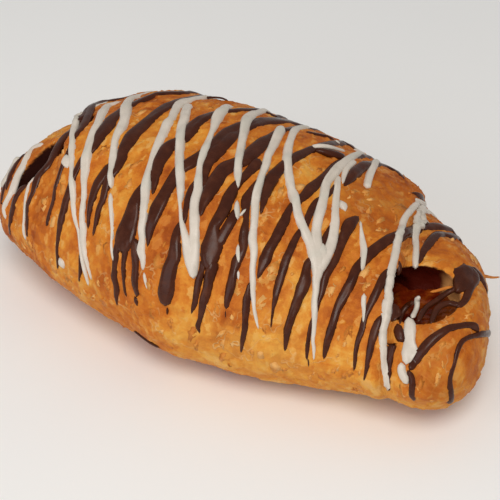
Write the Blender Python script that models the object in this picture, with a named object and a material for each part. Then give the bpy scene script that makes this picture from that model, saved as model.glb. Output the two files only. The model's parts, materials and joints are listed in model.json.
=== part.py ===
"""Danish pastry: a rolled, flaky pastry with jam in its open end and chocolate drizzled across it.

Metres, +Z up. The roll lies along X, with the end that shows the jam at +X and the front at -Y.
The origin is on the flat underside, below the middle of the roll's box.

A place on the roll is given by x and by an angle round it: 0 at the top, positive towards the
back and negative towards the front, where -1.57 is level with the roll's middle.
"""

import math

import bmesh
import bpy
from mathutils import Matrix, Vector
from mathutils.bvhtree import BVHTree

MM = 0.001

# The roll. Its sections are evenly spaced from the left end to the right end.
LENGTH = 150 * MM
HALF_WIDTHS = [size * MM for size in (37, 40.5, 40, 41.5, 40, 36, 34)]
HEIGHTS = [size * MM for size in (48, 53.5, 55, 54, 48, 41, 45.5)]
OFFSETS = [size * MM for size in (-9.3, -0.3, -0.3, -0.8, 2.2, 1.7, -10.3)]
WIDEST_AT = 0.42
FLATTENED = 4 * MM
ROUND_SEGMENTS = 40
LENGTH_SEGMENTS = 32

# The edges of the wrapped sheet of dough. Each lies in a plane, stands proud on the side that its
# normal points away from, and fades out away from the plane. It shows from x = start, and at the
# front only down to an angle. Lengths are in millimetres.
RIGHT_EDGE = {
    "point": (48, -1.3, 0), "normal": (1, 0.35, 0), "step": 3.2, "fade": 13, "start": 0, "lowest": -9
}
LEFT_EDGE = {
    "point": (-56, -1.3, 0), "normal": (-1, -0.41, 0), "step": 4, "fade": 10, "start": -100, "lowest": -1.1
}
FLAP_EDGE = {
    "point": (57, 0, 30), "normal": (0.87, 0, 1), "step": 2.6, "fade": 9, "start": 56, "lowest": -9
}
EDGES = (RIGHT_EDGE, LEFT_EDGE, FLAP_EDGE)
EDGE_HALF_WIDTH = 0.7 * MM
FADE_ALONG = 5 * MM
FADE_ROUND = 0.5
FADE_AT_BASE = 10 * MM
PATCH_CENTRE = (35 * MM, 0.22)
PATCH_HALF_SIZE = (10 * MM, 0.34)
PATCH_DEPTH = 1 * MM
BUMP_HEIGHT = 0.5 * MM

# The open end: a pocket and the tunnel that leads from it under the wrap, with jam in the bottom.
POCKET_CENTRE = (57 * MM, -8 * MM, 30 * MM)
POCKET_RADII = (10.5 * MM, 10.5 * MM, 10.5 * MM)
TUNNEL_CENTRE = (46 * MM, -7 * MM, 26.5 * MM)
TUNNEL_RADII = (11 * MM, 8 * MM, 7 * MM)
JAM_LEVEL = 26 * MM
JAM_TILT = (-0.10, -0.18)
JAM_CORE_RADIUS = 5.5 * MM
JAM_CORE_ENDS = (-42 * MM, 46 * MM)
JAM_CORE_Y = -7 * MM
JAM_CORE_Z = 18.5 * MM
GAP = 0.3 * MM

# The gap between the left flap and the wrap.
SLOT_CENTRE = (-58 * MM, -20 * MM, 38 * MM)
SLOT_ALONG = (-7, -12, -11)
SLOT_DOWN = (0.5, 0.25, -0.8)
SLOT_RADII = (10 * MM, 2.9 * MM, 11 * MM)

# The drizzle. Each row is a stroke: x and angle where it starts, x and angle at its foot, and its
# width in millimetres. A start beyond the ridge is moved a little, so that the feet are uneven.
BACK = 1.2
DARK_STROKES = (
    (-68, -0.5, -67, -1.2, 2.6),
    (-57, -0.9, -61, -1.6, 2.6),
    (-60, BACK, -52, -1.5, 3.2),
    (-54, BACK, -43, -1.25, 3.0),
    (-36, BACK, -39, -1.6, 4.0),
    (-31, BACK, -25, -1.15, 4.4),
    (-27, -0.6, -28, -1.1, 3.0),
    (-9, BACK, -14, -1.55, 5.6),
    (-16, -0.8, -10, -1.5, 3.0),
    (-3, BACK, -7, -1.0, 4.4),
    (2, BACK, 2, -1.4, 4.6),
    (5, BACK, 12, -1.55, 4.4),
    (8, -0.9, 9, -1.35, 3.0),
    (11, BACK, 18, -1.2, 3.4),
    (17, BACK, 23, -1.55, 3.4),
    (22, BACK, 28, -1.3, 3.0),
    (29, -0.1, 33, -1.45, 3.6),
    (34, -0.1, 38, -1.5, 3.4),
    (50, 1.0, 42, -1.45, 3.4),
    (47, -0.5, 50, -1.5, 3.4),
    (51, 0.5, 54, -0.02, 2.6),
    (71, 0.0, 64, -1.6, 3.2),
    (71.5, -0.6, 70, -1.7, 2.2),
)
WHITE_STROKES = (
    (-55, -0.9, -52, -1.55, 2.0),
    (-58, 0.7, -26, -1.6, 2.6),
    (-56, BACK, -24, -1.5, 3.0),
    (-50, BACK, -16, -1.25, 2.4),
    (-35, BACK, -6, -1.2, 3.0),
    (-30, 0.7, 7, -1.0, 2.6),
    (-26, BACK, 7, -1.1, 3.4),
    (-15, BACK, 11, -0.6, 2.6),
    (-9, BACK, 26, -1.3, 2.8),
    (-2, BACK, 33, -0.7, 2.8),
    (11, BACK, 40, -1.5, 3.0),
    (21, BACK, 29, 0.25, 2.6),
    (33, -0.1, 49, -0.9, 2.2),
    (36, BACK, 59, -1.6, 3.2),
    (41, 0.9, 52, -0.1, 2.6),
    (59, -0.9, 64, -1.4, 3.2),
)
DARK_SINK = 0.3
WHITE_SINK = 0.1
TIP_SCALE = 0.55
STROKE_SPACING = 11 * MM
STROKE_WOBBLE = 1.0 * MM
RAY_START = 2.5
WELD = 0.003 * MM


def clear_scene():
    for scene_object in list(bpy.data.objects):
        bpy.data.objects.remove(scene_object, do_unlink=True)


def make_collection(name):
    collection = bpy.data.collections.new(name)
    bpy.context.scene.collection.children.link(collection)
    return collection


def make_material(name, colour, roughness):
    material = bpy.data.materials.new(name)
    material.use_nodes = True
    shader = material.node_tree.nodes["Principled BSDF"]
    shader.inputs["Base Color"].default_value = (*colour, 1)
    shader.inputs["Roughness"].default_value = roughness
    shader.inputs["Metallic"].default_value = 0
    return material


def add_object(name, mesh, collection, material=None):
    added = bpy.data.objects.new(name, mesh)
    collection.objects.link(added)
    if material is not None:
        mesh.materials.clear()
        mesh.materials.append(material)
    return added


def add_shape(name, shape, collection):
    """A mesh object from a bmesh, which is freed."""
    bmesh.ops.recalc_face_normals(shape, faces=shape.faces)
    mesh = bpy.data.meshes.new(name)
    shape.to_mesh(mesh)
    shape.free()
    return add_object(name, mesh, collection)


def along(values, x):
    """The smooth value at x of a size that is given at the roll's sections."""
    last = len(values) - 1
    position = min(max(x / LENGTH + 0.5, 0), 1) * last
    index = min(int(position), last - 1)
    t = position - index
    before = values[max(index - 1, 0)]
    start = values[index]
    end = values[index + 1]
    after = values[min(index + 2, last)]
    linear = (end - before) * t
    square = (2 * before - 5 * start + 4 * end - after) * t ** 2
    cube = (3 * start - before - 3 * end + after) * t ** 3
    return start + 0.5 * (linear + square + cube)


def section(x):
    """Middle, half width, rise above the middle and fullness of the roll at x."""
    height = along(HEIGHTS, x)
    middle = Vector((x, along(OFFSETS, x), WIDEST_AT * height))
    fullness = max(1 - abs(2 * x / LENGTH) ** 2.6, 0) ** (1 / 2.2)
    return middle, along(HALF_WIDTHS, x), height - middle.z, fullness


def edge_plane(edge):
    return Vector(edge["point"]) * MM, Vector(edge["normal"]).normalized()


def share(value, low=0):
    """A value held between a lowest value and 1."""
    return min(max(value, low), 1)


def edge_relief(edge, point, angle):
    """How far the dough stands out beside the edge of a sheet: proud on one side of it, low on the other."""
    centre, normal = edge_plane(edge)
    past = (point - centre).dot(normal)
    side = share(past / EDGE_HALF_WIDTH, -1)
    shown = share((point.x - edge["start"] * MM) / FADE_ALONG) * share((angle - edge["lowest"]) / FADE_ROUND)
    shown *= share(point.z / FADE_AT_BASE)
    return -0.5 * edge["step"] * MM * side * shown * math.exp(-abs(past) / (edge["fade"] * MM))


def relief(point, angle):
    """How far a point of the smooth roll moves outwards, for the edges, the bare patch and the bumps."""
    x = point.x
    out = sum(edge_relief(edge, point, angle) for edge in EDGES)
    across = (x - PATCH_CENTRE[0]) / PATCH_HALF_SIZE[0]
    around = (angle - PATCH_CENTRE[1]) / PATCH_HALF_SIZE[1]
    out -= PATCH_DEPTH * (0.5 - 0.5 * math.tanh(4 * (math.hypot(across, around) - 1)))
    out += BUMP_HEIGHT * math.sin(x / (6 * MM) + 2 * angle) * math.cos(3 * angle - x / (9 * MM))
    return out


def smooth_dough(point):
    """Move a point of a unit sphere, whose poles lie on X, to the surface of the smooth roll."""
    x = point.x * LENGTH / 2
    angle = math.atan2(point.y, point.z)
    middle, half_width, rise, fullness = section(x)
    up = math.cos(angle)
    if up < 0:
        rise = (middle.z + FLATTENED) * fullness ** 0.7 * abs(up) ** 0.65 / max(-up, 1e-6)
    else:
        rise *= fullness
    return middle + Vector((0, half_width * fullness * math.sin(angle), rise * up))


def raise_relief(point):
    """Move a point of the smooth roll in or out, and no lower than what the pastry rests on."""
    middle, half_width, rise, fullness = section(point.x)
    offset = point - middle
    angle = math.atan2(offset.y / half_width, offset.z / rise)
    if offset.length > 0:
        point = point + offset.normalized() * relief(point, angle) * min(fullness * 2, 1)
    return Vector((point.x, point.y, max(point.z, 0)))


def cut_along_edge(shape, edge):
    """Add two lines of points to the roll, one at each side of an edge, where the edge shows."""
    centre, normal = edge_plane(edge)
    for shift in (-EDGE_HALF_WIDTH, EDGE_HALF_WIDTH):
        faces = [face for face in shape.faces if face.calc_center_median().x > edge["start"] * MM]
        geometry = {element for face in faces for element in (*face.verts, *face.edges, face)}
        bmesh.ops.bisect_plane(
            shape, geom=list(geometry), dist=WELD, plane_co=centre + normal * shift, plane_no=normal
        )


def make_dough(collection):
    shape = bmesh.new()
    bmesh.ops.create_uvsphere(
        shape,
        u_segments=ROUND_SEGMENTS,
        v_segments=LENGTH_SEGMENTS,
        radius=1,
        matrix=Matrix.Rotation(math.radians(90), 4, "Y"),
    )
    for vertex in shape.verts:
        vertex.co = smooth_dough(vertex.co)
    for edge in EDGES:
        cut_along_edge(shape, edge)
    for vertex in shape.verts:
        vertex.co = raise_relief(vertex.co)
    bmesh.ops.triangulate(shape, faces=shape.faces)
    return add_shape("pastry", shape, collection)


def make_ellipsoid(centre, radii, turn=None):
    """A closed ellipsoid whose radii lie along the columns of a turn."""
    matrix = Matrix.Translation(centre)
    if turn is not None:
        matrix = matrix @ turn.to_4x4()
    shape = bmesh.new()
    bmesh.ops.create_uvsphere(
        shape, u_segments=20, v_segments=12, radius=1, matrix=matrix @ Matrix.Diagonal((*radii, 1))
    )
    return shape


def make_core(grow):
    """The jam that runs along the inside of the roll: a round bar with domed ends."""
    start, end = JAM_CORE_ENDS
    radius = JAM_CORE_RADIUS + grow
    shape = bmesh.new()
    bmesh.ops.create_uvsphere(
        shape, u_segments=14, v_segments=11, radius=radius, matrix=Matrix.Rotation(math.radians(90), 4, "Y")
    )
    for vertex in shape.verts:
        vertex.co.x += (end if vertex.co.x > 0 else start)
    bmesh.ops.translate(shape, verts=shape.verts, vec=(0, JAM_CORE_Y, JAM_CORE_Z))
    return shape


def cut_at_jam_level(shape):
    """Keep what lies below the jam's sloping surface."""
    normal = Vector((*JAM_TILT, 1)).normalized()
    level = Vector((POCKET_CENTRE[0], POCKET_CENTRE[1], JAM_LEVEL))
    geometry = shape.verts[:] + shape.edges[:] + shape.faces[:]
    bmesh.ops.bisect_plane(
        shape, geom=geometry, dist=WELD, plane_co=level, plane_no=normal, clear_outer=True
    )
    bmesh.ops.holes_fill(shape, edges=[edge for edge in shape.edges if edge.is_boundary])


def apply_modifiers(changed):
    """Replace an object's mesh by its evaluated mesh, welded and in triangles."""
    bpy.context.view_layer.update()
    evaluated = changed.evaluated_get(bpy.context.evaluated_depsgraph_get())
    shape = bmesh.new()
    shape.from_mesh(evaluated.to_mesh())
    evaluated.to_mesh_clear()
    changed.modifiers.clear()
    bmesh.ops.remove_doubles(shape, verts=shape.verts, dist=WELD)
    bmesh.ops.dissolve_degenerate(shape, edges=shape.edges, dist=WELD)
    bmesh.ops.triangulate(shape, faces=shape.faces)
    shape.to_mesh(changed.data)
    shape.free()


def combine(target, operation, collection, solver="EXACT"):
    """One Boolean of an object with everything in a collection, whose objects are then removed."""
    boolean = target.modifiers.new(operation.lower(), "BOOLEAN")
    boolean.operation = operation
    boolean.operand_type = "COLLECTION"
    boolean.collection = collection
    boolean.solver = solver
    apply_modifiers(target)
    for used in list(collection.objects):
        bpy.data.objects.remove(used, do_unlink=True)


def make_jam(collection, tools, material):
    """The jam: a pool in the bottom of the pocket and tunnel, and a core that runs through the roll."""
    pocket_radii = [radius - GAP for radius in POCKET_RADII]
    tunnel_radii = [radius - GAP for radius in TUNNEL_RADII]
    jam = add_shape("jam", make_ellipsoid(POCKET_CENTRE, pocket_radii), collection)
    add_shape("tongue", make_ellipsoid(TUNNEL_CENTRE, tunnel_radii), tools)
    combine(jam, "UNION", tools)
    pool = bmesh.new()
    pool.from_mesh(jam.data)
    cut_at_jam_level(pool)
    pool.to_mesh(jam.data)
    pool.free()
    add_shape("core", make_core(0), tools)
    combine(jam, "UNION", tools)
    jam.data.materials.append(material)
    return jam


def cut_hollows(pastry, tools):
    """Cut the pocket, the tunnel, the space for the jam and the slot beside the left flap."""
    add_shape("pocket", make_ellipsoid(POCKET_CENTRE, POCKET_RADII), tools)
    add_shape("tunnel", make_ellipsoid(TUNNEL_CENTRE, TUNNEL_RADII), tools)
    add_shape("core_space", make_core(GAP), tools)
    long_axis = Vector(SLOT_ALONG).normalized()
    down_axis = Vector(SLOT_DOWN)
    down_axis = (down_axis - down_axis.dot(long_axis) * long_axis).normalized()
    turn = Matrix((long_axis, down_axis.cross(long_axis), down_axis)).transposed()
    add_shape("slot", make_ellipsoid(SLOT_CENTRE, SLOT_RADII, turn), tools)
    combine(pastry, "DIFFERENCE", tools)


def drape(surface, x, angle):
    """The point of the dough at x and an angle, and the direction that it faces."""
    middle, half_width, rise, _ = section(x)
    outward = Vector((0, half_width * math.sin(angle), max(rise, middle.z) * math.cos(angle)))
    hit, normal, _, _ = surface.ray_cast(middle + outward * RAY_START, -outward)
    return hit, normal


def stroke_points(surface, stroke, number):
    """Points on the dough along one stroke, which wanders a little from side to side."""
    start_x, start_angle, foot_x, foot_angle, _ = stroke
    if start_angle == BACK:
        start_angle += 0.3 * math.sin(2.4 * number)
    count = max(3, round(abs(start_angle - foot_angle) * 35 * MM / STROKE_SPACING) + 1)
    points = []
    for index in range(count):
        t = index / (count - 1)
        wander = STROKE_WOBBLE * math.sin(5 * t + 1.7 * number) * math.sin(math.pi * t)
        x = (start_x + (foot_x - start_x) * t) * MM + wander
        points.append(drape(surface, x, start_angle + (foot_angle - start_angle) * t))
    return points


def add_stroke(name, surface, stroke, number, sink, collection):
    """A closed tube along one stroke, thinner at its tips and sunk a little into the dough."""
    radius = stroke[4] * MM / 2
    points = stroke_points(surface, stroke, number)
    curve = bpy.data.curves.new(name, "CURVE")
    curve.dimensions = "3D"
    curve.bevel_depth = radius
    curve.bevel_resolution = 1
    curve.use_fill_caps = True
    spline = curve.splines.new("POLY")
    spline.points.add(len(points) - 1)
    for index, (hit, normal) in enumerate(points):
        at_tip = index in (0, len(points) - 1)
        scale = TIP_SCALE if at_tip else 1
        spline.points[index].co = (*(hit - normal * radius * scale * sink), 1)
        spline.points[index].radius = scale
    guide = add_object(name + "_guide", curve, collection)
    bpy.context.view_layer.update()
    evaluated = guide.evaluated_get(bpy.context.evaluated_depsgraph_get())
    shape = bmesh.new()
    shape.from_mesh(evaluated.to_mesh())
    evaluated.to_mesh_clear()
    bpy.data.objects.remove(guide, do_unlink=True)
    bmesh.ops.remove_doubles(shape, verts=shape.verts, dist=WELD)
    add_shape(name, shape, collection)


def add_drizzle(pastry, surface, drizzle):
    """Fuse every stroke of the dark and the white chocolate to the pastry.

    The exact solver leaves an edge that four faces share where strokes cross, so this is MANIFOLD.
    """
    for number, stroke in enumerate(DARK_STROKES):
        add_stroke(f"dark_{number}", surface, stroke, number, DARK_SINK, drizzle)
    for number, stroke in enumerate(WHITE_STROKES):
        add_stroke(f"white_{number}", surface, stroke, number, WHITE_SINK, drizzle)
    combine(pastry, "UNION", drizzle, "MANIFOLD")


def main():
    clear_scene()
    model = make_collection("danish_pastry")
    tools = make_collection("tools")
    crust_material = make_material("baked_crust", (0.55, 0.22, 0.06), 0.55)
    jam_material = make_material("fruit_jam", (0.12, 0.008, 0.003), 0.15)
    pastry = make_dough(model)
    pastry.data.materials.append(crust_material)
    surface = BVHTree.FromObject(pastry, bpy.context.evaluated_depsgraph_get())
    make_jam(model, tools, jam_material)
    cut_hollows(pastry, tools)
    add_drizzle(pastry, surface, tools)
    for made in model.objects:
        made.data.shade_smooth()
        made.data.set_sharp_from_angle(angle=math.radians(40))
    bpy.data.collections.remove(tools)


main()
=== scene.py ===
"""Looks for a danish pastry: flaky baked crust, jam in the open end, dark and white chocolate drizzle.

Metres, +Z up, in the frame of the CAD model. The roll lies along X with the open end at +X and the
front at -Y. A place on the roll is given by x and by an angle round it: 0 at the top, positive
towards the back. Places that were read on the photograph are pixels of its 500 x 500 frame, and
they are cast through its camera onto the crust.
"""

import json
import math

import bmesh
import bpy
from mathutils import Matrix, Quaternion, Vector, noise
from mathutils.bvhtree import BVHTree

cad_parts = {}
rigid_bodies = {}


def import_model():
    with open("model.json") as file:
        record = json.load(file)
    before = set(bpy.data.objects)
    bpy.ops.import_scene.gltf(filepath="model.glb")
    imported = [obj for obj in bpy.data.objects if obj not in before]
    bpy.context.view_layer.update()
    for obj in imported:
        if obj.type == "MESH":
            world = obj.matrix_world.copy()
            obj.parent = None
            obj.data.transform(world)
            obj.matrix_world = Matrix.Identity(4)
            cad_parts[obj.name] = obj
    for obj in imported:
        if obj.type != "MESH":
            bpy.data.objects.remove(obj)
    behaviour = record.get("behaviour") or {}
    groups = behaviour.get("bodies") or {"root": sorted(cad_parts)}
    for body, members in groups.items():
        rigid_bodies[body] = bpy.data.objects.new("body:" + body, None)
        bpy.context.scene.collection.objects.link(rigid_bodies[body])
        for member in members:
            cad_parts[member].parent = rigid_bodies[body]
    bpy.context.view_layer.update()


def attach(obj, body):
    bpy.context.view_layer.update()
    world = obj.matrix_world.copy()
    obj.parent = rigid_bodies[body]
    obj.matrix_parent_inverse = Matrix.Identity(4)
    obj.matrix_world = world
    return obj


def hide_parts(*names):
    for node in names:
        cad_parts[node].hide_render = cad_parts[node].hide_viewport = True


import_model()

MM = 0.001

# The camera of the photograph: its frame, the point it aims at and where that point shows.
PHOTO_SIZE = 500
PHOTO_AZIMUTH = math.radians(33.4)
PHOTO_ELEVATION = math.radians(35.5)
PHOTO_DISTANCE = 0.42
PHOTO_AIM = Vector((0, -1.3 * MM, 25 * MM))
PHOTO_AIM_PIXEL = (247.1, 235.8)
PHOTO_FOCAL = 1523
SENSOR_WIDTH = 36
CLIP_START = 10 * MM
# A pixel that just misses the pastry is moved inwards, at most this often.
MOST_MOVES = 40

# The roll, as in the CAD model: its sections are evenly spaced from the left end to the right end.
LENGTH = 150 * MM
HALF_WIDTHS = [size * MM for size in (37, 40.5, 40, 41.5, 40, 36, 34)]
HEIGHTS = [size * MM for size in (48, 53.5, 55, 54, 48, 41, 45.5)]
OFFSETS = [size * MM for size in (-9.3, -0.3, -0.3, -0.8, 2.2, 1.7, -10.3)]
WIDEST_AT = 0.42
FLATTENED = 4 * MM
# How the roll narrows to its ends, and how its lower half does.
END_POWER = 2.6
END_ROOT = 1 / 2.2
LOWER_END_POWER = 0.7
# Lower values make the lower half squarer. It is tucked in further towards the open end.
LOWER_BELLY = 0.86
TUCK = 0.28
TUCK_AT = 56 * MM
TUCK_REACH = 16 * MM
# The dough is fuller here: a place, a reach and a height, all in millimetres.
SWELLS = (((63, 8, 30), 12, 4),)

# The edges of the wrapped sheet of dough, in millimetres, and the broken patch on the top.
EDGES = (
    {
        "point": (48, -1.3, 0), "normal": (1, 0.35, 0), "step": 3.2, "fade": 13, "start": 0, "lowest": -9,
        "layers": 0.6,
    },
    {
        "point": (-56, -1.3, 0), "normal": (-1, -0.41, 0), "step": 4, "fade": 10, "start": -100,
        "lowest": -1.1, "layers": 0.6,
    },
    {
        "point": (57, 0, 30), "normal": (0.87, 0, 1), "step": 2.6, "fade": 9, "start": 56, "lowest": -9,
        "layers": 0.2,
    },
)
# Ragged outlines are a fractal noise: its roughness, its step in scale and its levels.
RAGGED = (0.6, 2.0, 3)
EDGE_HALF_WIDTH = 0.7 * MM
EDGE_RAGGED = 0.9 * MM
LAYERS_SEEN = 1.6 * MM
FADE_ALONG = 5 * MM
FADE_ROUND = 0.5
FADE_AT_BASE = 18 * MM
PATCH_CENTRE = (35 * MM, 0.22)
PATCH_HALF_SIZE = (10 * MM, 0.34)
PATCH_DEPTH = 1 * MM
PATCH_RAGGED = 0.22
PATCH_SHARPNESS = 5
BUMP_HEIGHT = 0.5 * MM
# The relief of the baked flakes, in millimetres: two nets of plates, a slow swell, a fine grain and
# the warp of the plates, each as a size and a height.
PLATE_NETS = ((7.5, 0.36), (3.4, 0.24))
PLATE_SWELL = (9, 0.3)
PLATE_GRAIN = (1.7, 0.16)
PLATE_WARP = (4, 1.6)
PLATE_LEVEL = 1.3
PLATE_BORDER = 0.5
BORDER_SHARPNESS = 7
# The share of the relief that is lost in the hollows.
RELIEF_LOST = 0.6
# The relief fades out, and the crust is baked browner, this far above the underside.
BASE_FADE = 3 * MM
BASE_BROWN_ABOVE = 0.25 * MM
BASE_BROWN = 0.45
PATCH_BROWN = 0.75
# The vector noise starts from the clock unless it is given a seed.
RELIEF_SEED = 3

# Places that are browner: x and y on the photograph, radius in millimetres and amount. Most are baked
# browner; some are painted shade, such as the three small ones along a thin slit.
BROWN_AND_SHADE_PLACES = (
    (434, 388, 5, 0.9), (424, 330, 3, 0.6), (36, 150, 5, 0.8), (22, 166, 4, 0.8), (470, 250, 5, 0.35),
    (444, 349, 4, 0.5), (482, 298, 6, 0.55), (455, 300, 5, 0.2), (403.5, 245, 1.2, 1.2),
    (402, 250, 1.3, 1.2), (401, 256, 1.2, 1.2), (390, 300, 5, 0.4), (452, 248, 9, 0.3),
    (452, 360, 12, 0.3), (110, 290, 14, 0.3),
)
# Places painted paler, as light on the low front, where the pale edges of curled layers also show more,
# written the same way.
PALE_AND_LIT_PLACES = (
    (195, 342, 8, 0.55), (245, 354, 9, 0.65), (290, 366, 8, 0.5), (340, 382, 7, 0.2), (275, 335, 6, 0.4),
)

# The open end and the slot beside the left flap.
POCKET_CENTRE = Vector((57, -8, 30)) * MM
POCKET_RADII = Vector((10.5, 10.5, 10.5)) * MM
# The front lip leans in over the pocket, so its opening is narrower along this direction.
LIP_LEAN = Vector((-0.32, 0.485, 0.814))
LIP_REACH = 1.9 * MM
TUNNEL_CENTRE = Vector((46, -7, 26.5)) * MM
TUNNEL_RADII = Vector((11, 8, 7)) * MM
SLOT_CENTRE = Vector((-55.8, -16.4, 41.3)) * MM
SLOT_ALONG = Vector((-7, -12, -11))
SLOT_DOWN = Vector((0.5, 0.25, -0.8))
SLOT_RADII = Vector((16, 4.2, 12)) * MM
JAM_LEVEL = 26 * MM
JAM_TILT = (-0.10, -0.18)
JAM_CORE_RADIUS = 5.5 * MM
JAM_CORE_ENDS = (-42 * MM, 46 * MM)
JAM_CORE_MIDDLE = (-7 * MM, 18.5 * MM)
GAP = 0.3 * MM
# The jam stain on the wall of the open end, darkened further as painted shade, stops near this x, ragged and
# fading.
JAM_AND_SHADE_END = 60.5 * MM
JAM_AND_SHADE_RAGGED = 2.5 * MM
JAM_AND_SHADE_FADE = 4 * MM
# A hollow's wall starts this far below the uncut dough. Its look ends at a share of its radii, and
# fades over a further share.
CUT_EDGE = 0.35 * MM
POCKET_LOOK = (1.1, 0.2)
SLOT_LOOK = (1.3, 0.3)
# The walls of the hollows are uneven: a size and a height in millimetres.
WALL_UNEVEN = (5, 0.7)
# The jam reaches this far into the dough. It is lumpy above a depth below its level and beyond a
# place along the roll. The lumps are sizes and heights in millimetres.
JAM_GROWS = 0.5 * MM
JAM_SURFACE_DEPTH = 1.5 * MM
JAM_SURFACE_FROM = 34 * MM
JAM_LUMPS = ((3.2, 0.9), (1.3, 0.35))

CRUST_VOXEL = 0.7 * MM
JAM_VOXEL = 0.5 * MM
DOUGH_AROUND = 260
DOUGH_ALONG = 200

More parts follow.
